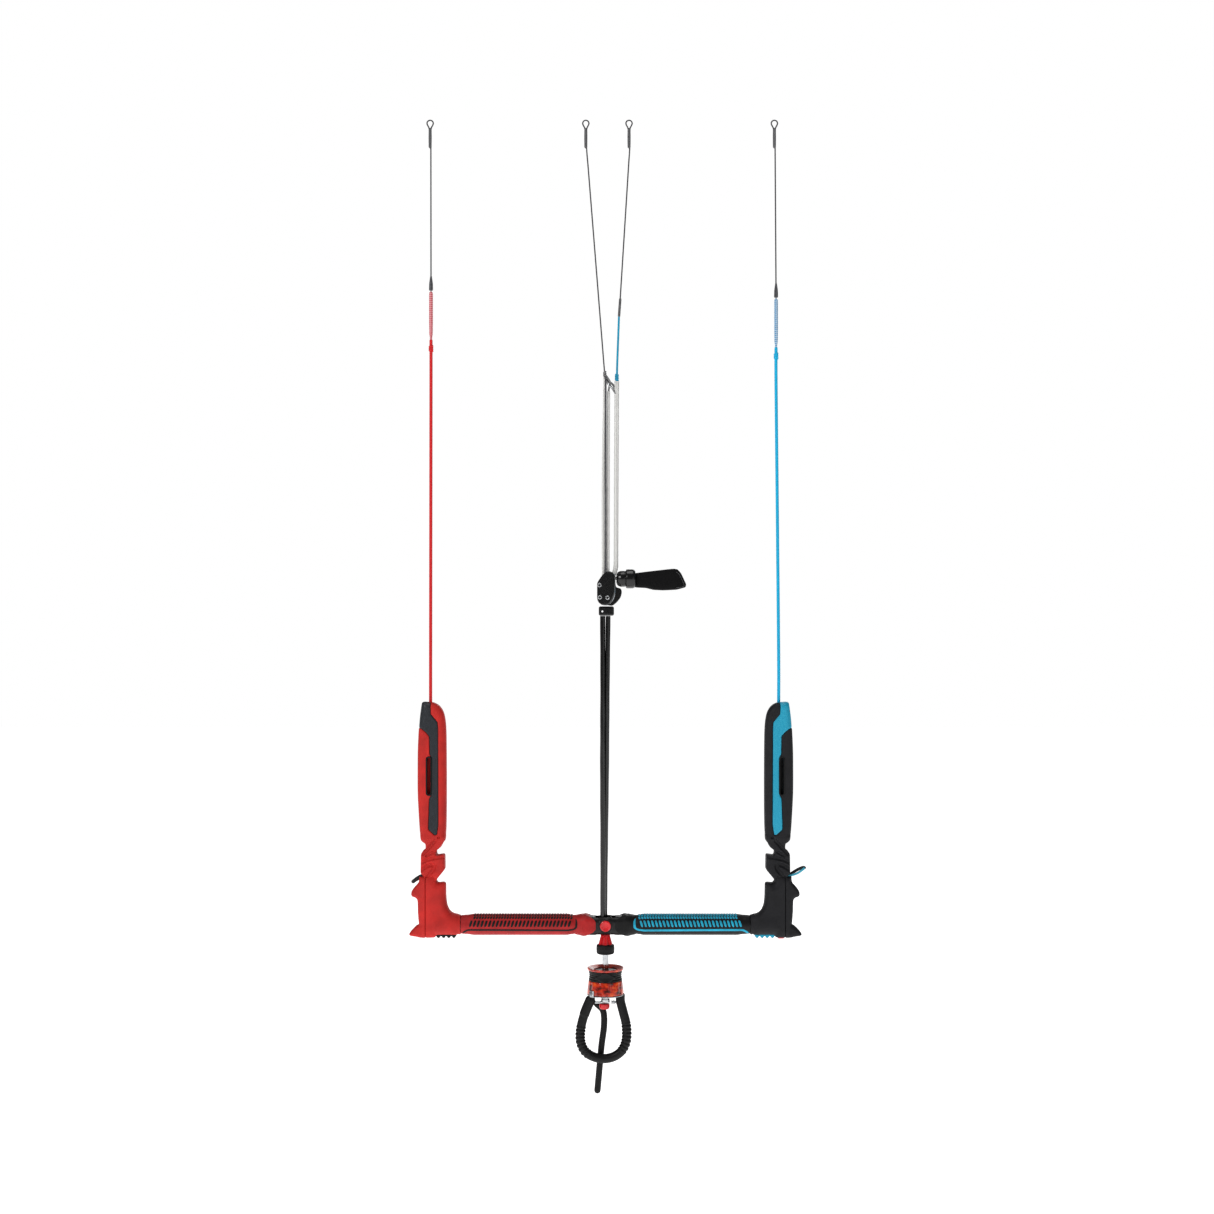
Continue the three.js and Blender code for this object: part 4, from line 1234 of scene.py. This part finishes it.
def depower_collar(x, y, z):
    """The block that clamps the two strands under the cleat, with a lashing hole."""
    form = box_distance((-8.4, -7.5, 392), (10.8, 7.5, 403.8), x, y, z, 2.2)
    for place in (-0.6, 1.8, 4.2):
        groove = np.hypot(x - place, np.maximum(7.9 - np.abs(y), 0)) - 0.55
        form = np.maximum(form, -groove)
    return np.maximum(form, 1.25 - np.hypot(x + 3.9, z - 397.4))


def strands():
    """Two coated strands, side by side at the clamp and one behind the other in the hub."""
    heights = [391.6, 300, 200, 100, 30, -11.9]
    share = np.array([0, 0.25, 0.5, 0.8, 1, 1])
    sway = np.array([0, 0.25, -0.2, 0.2, 0, 0])
    front = np.column_stack([-3.5 + 0.1 * share + sway, -2.4 * share, heights])
    back = np.column_stack([3.4 - 3.8 * share - sway * 0.5, 3.6 * share, heights])
    strand_rows = [
        ("depower_strand", front, 3.3, "depower_line"),
        ("safety_strand", back, 3.1, "safety_tube"),
    ]
    for name, route, radius, node in strand_rows:
        def size(along, angle, radius=radius):
            return radius * (0.98 + 0.02 * np.sin(along / 9.0 + 2 * angle))
        add(name, tube(route, 2.5, size, 24, False), "coated_line", "centre_line", node, sharp=80)


def stopper():
    """The toggle's stopper ball, with a groove and a rim."""
    profile = rounded([
        [1.2, 13.9], [5.6, 13.9], [8.6, 15.6], [10.2, 19.4], [10.3, 24.4], [9.7, 25.2], [10.4, 26],
        [12.1, 26.6], [12.3, 30.6], [12.2, 35.4], [10.4, 38.1], [4, 38.2], [1.2, 38.2],
    ], 1.2)
    add("toggle_ball", turned(profile, 56, (0, TOGGLE_HEIGHT), "x"), "cleat_black", "trim_toggle",
        "stopper_ball")


HANDLE_OUTLINE = [
    [36.4, 446.6], [62, 449.4], [86.9, 452.3], [91.9, 451.4], [96.4, 446.6], [103.4, 431.6],
    [102.4, 427.6], [91, 424.4], [74, 423.4], [61.3, 423.8], [51.2, 426.2], [36.4, 427.4],
]
SEAM_ROUTE = [[90, 0, 447.4], [93.6, 0, 444], [99.6, 0, 431.4], [98, 0, 428.6], [90, 0, 427.4]]
STITCH_TOP, STITCH_RISE = 6.1, 0.5


def handle_core(x, y, z):
    flat = outline_distance(HANDLE_OUTLINE, x, z)
    return slab(flat + 0.6, y, 4.6 + 0.6 * np.clip((x - 45) / 30, 0, 1), 3.4)


def inflate(piece, cap):
    """Swell a closed skin with cloth under pressure, no point moving further than the cap."""
    mesh = piece.data
    before = np.array([vertex.co[:] for vertex in mesh.vertices])
    cloth = piece.modifiers.new("cloth", "CLOTH")
    cloth.settings.use_pressure = True
    cloth.settings.uniform_pressure_force = 4
    cloth.settings.effector_weights.gravity = 0
    cloth.settings.quality = 6
    scene = bpy.context.scene
    for step in range(1, 21):
        scene.frame_set(step)
    drawn = piece.evaluated_get(bpy.context.evaluated_depsgraph_get()).to_mesh()
    after = np.array([vertex.co[:] for vertex in drawn.vertices])
    piece.modifiers.remove(cloth)
    scene.frame_set(1)
    move = after - before
    size = np.linalg.norm(move, axis=1)[:, None]
    placed = before + move * np.minimum(1, cap / np.maximum(size, 1e-9))
    mesh.vertices.foreach_set("co", placed.ravel())
    mesh.update()


def handle():
    """The padded webbing pull: an inflated pad with a sewn border near its free end."""
    pad = add("handle_pad", carved(handle_core, (35.6, -7, 422), (104.5, 7, 453.5), 1.6), "webbing",
              "trim_toggle", "trim_handle", sharp=180)
    inflate(pad, 0.0012)
    smooth = pad.modifiers.new("smooth", "SUBSURF")
    smooth.levels = smooth.render_levels = 1
    stitches = []
    path = smooth_route(SEAM_ROUTE, 2.4)
    for face in (-1, 1):
        for start, end in zip(path, path[1:]):
            first, last = start + (end - start) * 0.12, start + (end - start) * 0.8
            stitch = np.array([first, (first + last) / 2, last])
            stitch[:, 1] = face * (STITCH_TOP - STITCH_RISE * np.array([1, 0, 1]))
            stitches.append(sweep(stitch, 0.35, 6, True))
    add("handle_stitching", merged(stitches), "grey_sleeve", "trim_toggle")


def trim_tail():
    """The rope from the cleat to the toggle, which runs through the ball."""
    route = [[9.5, 0, 441], [12, 0, 440], [16, 0, 438.9], [26, 0, TOGGLE_HEIGHT], [37, 0, 438.4],
             [46, 0, 437.6]]
    piece = add("trim_tail", braided(route, ROPE_RADIUS, 0.17), "trim_rope", None, sharp=80)
    start, end = to_frame([[12, 0, TOGGLE_HEIGHT], [15, 0, TOGGLE_HEIGHT]])
    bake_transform(piece)


trim_ropes()
head_knots()
cleat()
add("strand_clamp", carved(depower_collar, (-9, -8, 391.5), (11.4, 8, 404.3), 0.35), "cleat_black",
    "centre_line", "depower_collar")
strands()
stopper()
handle()
trim_tail()


# ---- bumper, swivel and quick release ----

WINDOWS, TEETH, FLUTES = 6, 36, 10
SHAFT_RADIUS, SHAFT_TOP, SHAFT_FOOT = 4, -15.4, -78
COIL_RADIUS, COIL_TURNS, COIL_TOP, COIL_LENGTH = 11.5, 6.5, -61.6, 16.8


def ramp_up(value, width):
    """0 to 1 over a width."""
    return np.clip(value / width, 0, 1)


def windows(radius, height, angle):
    """Six recessed windows round the cone."""
    inside = np.clip((np.cos(WINDOWS * angle) - 0.1) * 3, 0, 1)
    return radius - 1.7 * inside * ramp_up(-14.5 - height, 1.2) * ramp_up(height + 27.2, 1.2)


def teeth(radius, height, angle):
    """A toothed rim below, and faint ribs round the side."""
    low = ramp_up(-33.2 - height, 1.5) * ramp_up(radius - 8, 2)
    ribs = ramp_up(height + 33, 1.0) * ramp_up(radius - 10.6, 0.4)
    return radius - (0.45 * low + 0.12 * ribs) * (np.sin(TEETH * angle) > 0)


def sleeve_relief(radius, height, angle):
    """Shallow vertical flutes on the flared lower part of the sleeve."""
    low = ramp_up(-71.5 - height, 2) * ramp_up(height + 86.4, 1.5)
    return radius - 0.5 * low * np.clip(np.cos(FLUTES * angle) * 2 - 0.9, 0, 1) * (radius > 20)


def rubber_relief(radius, height, angle):
    """Hoops round the rubber grip, and a raised plain lozenge at its front and at its back."""
    from_side = np.abs(np.abs((angle + math.pi) % (2 * math.pi) - math.pi) - math.pi / 2)
    pad = np.clip((1.0 - from_side * 4 / 3 - np.abs(height + 64.4) / 8.4) * 5, 0, 1)
    hoops = 0.45 * np.abs(np.sin((height + 57) * math.pi / 2.6))
    return radius + (radius > 19.4) * ((1 - pad) * hoops + pad * 1.2)


def bumper():
    """The red cone with its six recessed windows, and the rubber ring with a toothed rim."""
    cone = rounded([
        [0.3, -12.3], [5.7, -12.3], [6.5, -16], [8.3, -22.4], [9.8, -28.2], [9.8, -30], [4.3, -30],
    ], 0.9, 6)
    add("bumper_red", turned(densify(cone, 0.5), 144, relief=windows), "red_plastic",
        "centre_line", "bumper_cone")
    ring = rounded([
        [4.3, -25.2], [10.2, -25.2], [11.2, -26.6], [11.5, -31], [11.3, -33.2], [11.3, -35.6],
        [10, -37.3], [4.3, -37.3],
    ], 0.8)
    add("bumper_black", turned(densify(ring, 0.6), 288, relief=teeth), "black_rubber",
        "centre_line", "bumper_ring", sharp=30)
    shaft = rounded([
        [0.1, SHAFT_TOP], [SHAFT_RADIUS, SHAFT_TOP], [SHAFT_RADIUS, SHAFT_FOOT], [0.1, SHAFT_FOOT],
    ], 0.4)
    add("shaft_polished", turned(shaft, 48), "steel", "centre_line", "swivel_shaft")


def release_sleeve():
    """The clear sleeve that is pushed up to let the loop go, and its rubber grip."""
    outer = rounded([
        [14.8, -57], [19.6, -55.1], [22.7, -54.2], [23.2, -55], [22.8, -57.2], [18.2, -58.6],
        [18.2, -69.6], [21.4, -70.8], [22.2, -75], [23, -81.5], [23.5, -86.6], [22.8, -87.5],
        [20, -87.5], [20, -83], [9, -83], [9, -80], [14.8, -80], [14.8, -57],
    ], 0.9)
    skin = turned(densify(outer, 1.0), 160, relief=sleeve_relief, hollow=True)
    add("release_skin", skin, "clear_red", "release_sleeve", "release_sleeve")
    wall = rounded([
        [18.5, -57.6], [21.4, -57.8], [20.4, -61], [20, -64.4], [20.4, -68], [21.2, -70.6],
        [18.5, -70.2], [18.5, -57.6],
    ], 0.8)
    rubber_grip = turned(densify(wall, 0.35), 180, relief=rubber_relief, hollow=True)
    add("release_rubber", rubber_grip, "black_rubber", "release_sleeve", "sleeve_grip")


def release_core():
    """The stem inside the sleeve, and the spring that pushes the sleeve back down."""
    core = rounded([
        [4.3, -58], [14.2, -58], [14.2, -60], [8.5, -60], [8.5, -87.6], [0.2, -87.6], [0.2, -79],
        [4.3, -79], [4.3, -58],
    ], 0.5)
    add("release_stem", turned(core, 56, hollow=True), "black_plastic", "release_body",
        "release_core")
    share = np.linspace(0, 1, 300)
    angle = 2 * math.pi * COIL_TURNS * share
    path = np.column_stack([
        COIL_RADIUS * np.cos(angle), COIL_RADIUS * np.sin(angle), COIL_TOP - COIL_LENGTH * share,
    ])
    spring = add("release_coil", sweep(path, 1, 8, True), "spring_steel", "release_body",
                 "release_spring")
    anchor = to_frame([0, 0, -60.4])
    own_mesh(spring)


def lug(x, y, z):
    """A bent tab at the front left of the cradle, which holds its rivet."""
    across, radial = (y - x) / math.sqrt(2), np.hypot(x, y)
    wall = box_distance((-3.2, 23.9, -89.3), (3.2, 25.1, -80.8), across, radial, z, 0.5)
    foot = box_distance((-3.2, 21.5, -89.3), (3.2, 25.1, -88.1), across, radial, z, 0.5)
    return np.maximum(fuse(wall, foot, 0.4), x + y)


def gate_arm(x, y, z):
    """A waisted post under the cradle, and the bar that reaches across to the loop."""
    post = cylinder(x, y, 5.6, z + 93.85, 4.15)
    bar = box_distance((-13.6, -3, -100.2), (5.4, 3, -97.6), x, y, z, 0.7)
    waist = np.hypot(np.hypot(x, y) - 6.2, z + 93.6) - 1.4
    return fuse(np.maximum(post, -waist), bar, 0.8)


def cradle():
    """The steel cradle plate, the lug that holds its rivet, and the gate below."""
    dish = rounded([
        [0.1, -88], [21.2, -88], [22.4, -87.8], [23.3, -87.9], [23.4, -88.7], [22.6, -89.4],
        [0.1, -89.4],
    ], 0.4)
    add("cradle_dish", turned(dish, 96), "steel", "release_body", "cradle_plate")
    rivet = rounded([
        [0.1, -19.2], [1.5, -19.2], [1.7, -18.5], [2.5, -18.5], [3.4, -18.1], [3.4, -14.2], [0.1, -14.2],
    ], 0.35)
    add("cradle_stud", turned(rivet, 40, (-17, -84.2), "y"), "spring_steel", "release_body",
        "cradle_rivet")
    add("cradle_lug", carved(lug, (-21, -21, -90), (-12, -12, -80), 0.3), "steel", "release_body")
    add("gate_bracket", carved(gate_arm, (-14, -6, -101), (6, 6, -89), 0.4), "steel",
        "release_body", "gate_arm")
    plug = rounded([
        [0.1, -100.5], [6.3, -100.5], [6.6, -101.4], [6.6, -105], [5.6, -107.2], [3, -107.6],
        [0.1, -107.6],
    ], 0.7)
    add("plug_red", turned(plug, 56, (-1.2, 0)), "red_plastic", "release_body", "release_plug")
    pin = rounded([
        [0.1, 7.4], [2.4, 7.4], [2.4, 8.4], [2, 9], [2.4, 9.6], [2.4, 12], [1.5, 12.4], [1.4, 18],
        [0.8, 24], [0.1, 24.3],
    ], 0.3)
    add("gate_needle", turned(pin, 32, (0, -99), "x"), "steel", "gate_pin", "gate_pin")


bumper()
release_sleeve()
release_core()
cradle()


# ---- chicken loop and stick ----

LOOP_RADIUS, LOOP_STEP = 5.8, 0.6
STICK_RADIUS, ROOT_LENGTH = 4.1, 6
LOOP_ROUTE = [
    [-19.3, 0, -96], [-25.7, 0, -111.4], [-30.2, 0, -126.6], [-32, 0, -141.9],
    [-30.2, 0, -153.3], [-24.5, 0, -162.6], [-14, 0, -168.6], [-2.5, 0, -170.6], [9, 0, -168.6],
    [18.8, 0, -162.6], [24.7, 0, -153.3], [27, 0, -141.9], [26.3, 0, -126.6], [22.6, 0, -111.4],
    [19.2, 0, -98], [19, 0, -90.6],
]
STICK_ROUTE = [
    [-15.4, 8.6, -100.4], [-9.5, 11, -104.8], [-3.6, 11.3, -111], [-1.7, 11.3, -120],
    [-2, 11.3, -134], [-4.8, 11.3, -155], [-6.8, 11.3, -176], [-9.2, 11.2, -203], [-10.2, 11, -213.6],
]


def chicken_loop():
    """The loop, ribbed on both sides, with a sleeve at the end that lets go."""
    total = lengths(smooth_route(LOOP_ROUTE, LOOP_STEP))[-1]

    def size(along, angle):
        relief = 0.5 * ramp_up(22 - along, 2)
        for start, end in ((34, 76), (total - 74, total - 34)):
            crest = np.abs(np.cos(math.pi * (along - start) / 4.6))
            relief = relief + ramp_up(along - start, 3) * ramp_up(end - along, 3) * (0.5 - crest**5)
        return LOOP_RADIUS + relief
    add("loop_tube", tube(LOOP_ROUTE, LOOP_STEP, size, 32), "black_rubber", "chicken_loop",
        "chicken_loop", sharp=60)


def chicken_stick():
    """The stick, slimmer at its root so that it can swing behind the loop's leg."""
    def size(along, angle):
        seam = 0.072 * np.exp(-((np.cos(angle) / 0.12) ** 2))
        return STICK_RADIUS - 2 * ramp_up(ROOT_LENGTH - along, ROOT_LENGTH) - seam
    add("stick_tube", tube(STICK_ROUTE, 1.2, size, 24), "black_rubber", "chicken_stick",
        "chicken_stick", sharp=60)


chicken_loop()
chicken_stick()


# ---- studio ----

FLOOR_DROP, FLOOR_REACH = 0.12, 9
LAMPS = [  # name, place, turn in degrees, size, power
    ("key", (-1.9, -2.1, 0.7), (64, 0, -42), 0.9, 29),
    ("fill", (1.7, -2.3, -0.3), (75, 0, 37), 1.6, 4.5),
    ("top", (0, -0.2, 1.3), (0, 0, 0), 1.2, 12),
    ("rear", (0.6, 2.4, 0.2), (-68, 0, -14), 1.6, 13),
]


def floor():
    """A pale floor below the hanging bar."""
    corners = [(-1, -1), (1, -1), (1, 1), (-1, 1)]
    drop = cad_low[2] - FLOOR_DROP
    mesh = bpy.data.meshes.new("floor")
    mesh.from_pydata([(a * FLOOR_REACH, b * FLOOR_REACH, drop) for a, b in corners], [], [(0, 1, 2, 3)])
    look = Look("floor", (250, 250, 250), 0.9)
    look.colour_by(look.noise(2), (0.3, (248, 248, 248)), (0.7, (252, 252, 252)))
    look.set("Emission Color", (1, 1, 1, 1))
    look.set("Emission Strength", 0.87)
    mesh.materials.append(look.material)
    put("floor", mesh)


def lamps():
    for name, place, turn, size, power in LAMPS:
        lamp = bpy.data.lights.new(name, "AREA")
        lamp.size = size
        lamp.energy = power
        holder = put(name, lamp)
        holder.location = place
        holder.rotation_euler = [math.radians(angle) for angle in turn]


def world():
    """White where the camera looks, and dim where it lights the bar."""
    sky = bpy.data.worlds.new("studio")
    sky.use_nodes = True
    nodes, links = sky.node_tree.nodes, sky.node_tree.links
    dim, seen = nodes["Background"], nodes.new("ShaderNodeBackground")
    dim.inputs["Color"].default_value = seen.inputs["Color"].default_value = (1, 1, 1, 1)
    dim.inputs["Strength"].default_value = 0.16
    path = nodes.new("ShaderNodeLightPath")
    mix = nodes.new("ShaderNodeMixShader")
    links.new(path.outputs["Is Camera Ray"], mix.inputs[0])
    links.new(dim.outputs[0], mix.inputs[1])
    links.new(seen.outputs[0], mix.inputs[2])
    links.new(mix.outputs[0], nodes["World Output"].inputs["Surface"])
    bpy.context.scene.world = sky
    bpy.context.scene.view_settings.view_transform = "Standard"
    bpy.context.scene.view_settings.gamma = 0.9


floor()
lamps()
world()
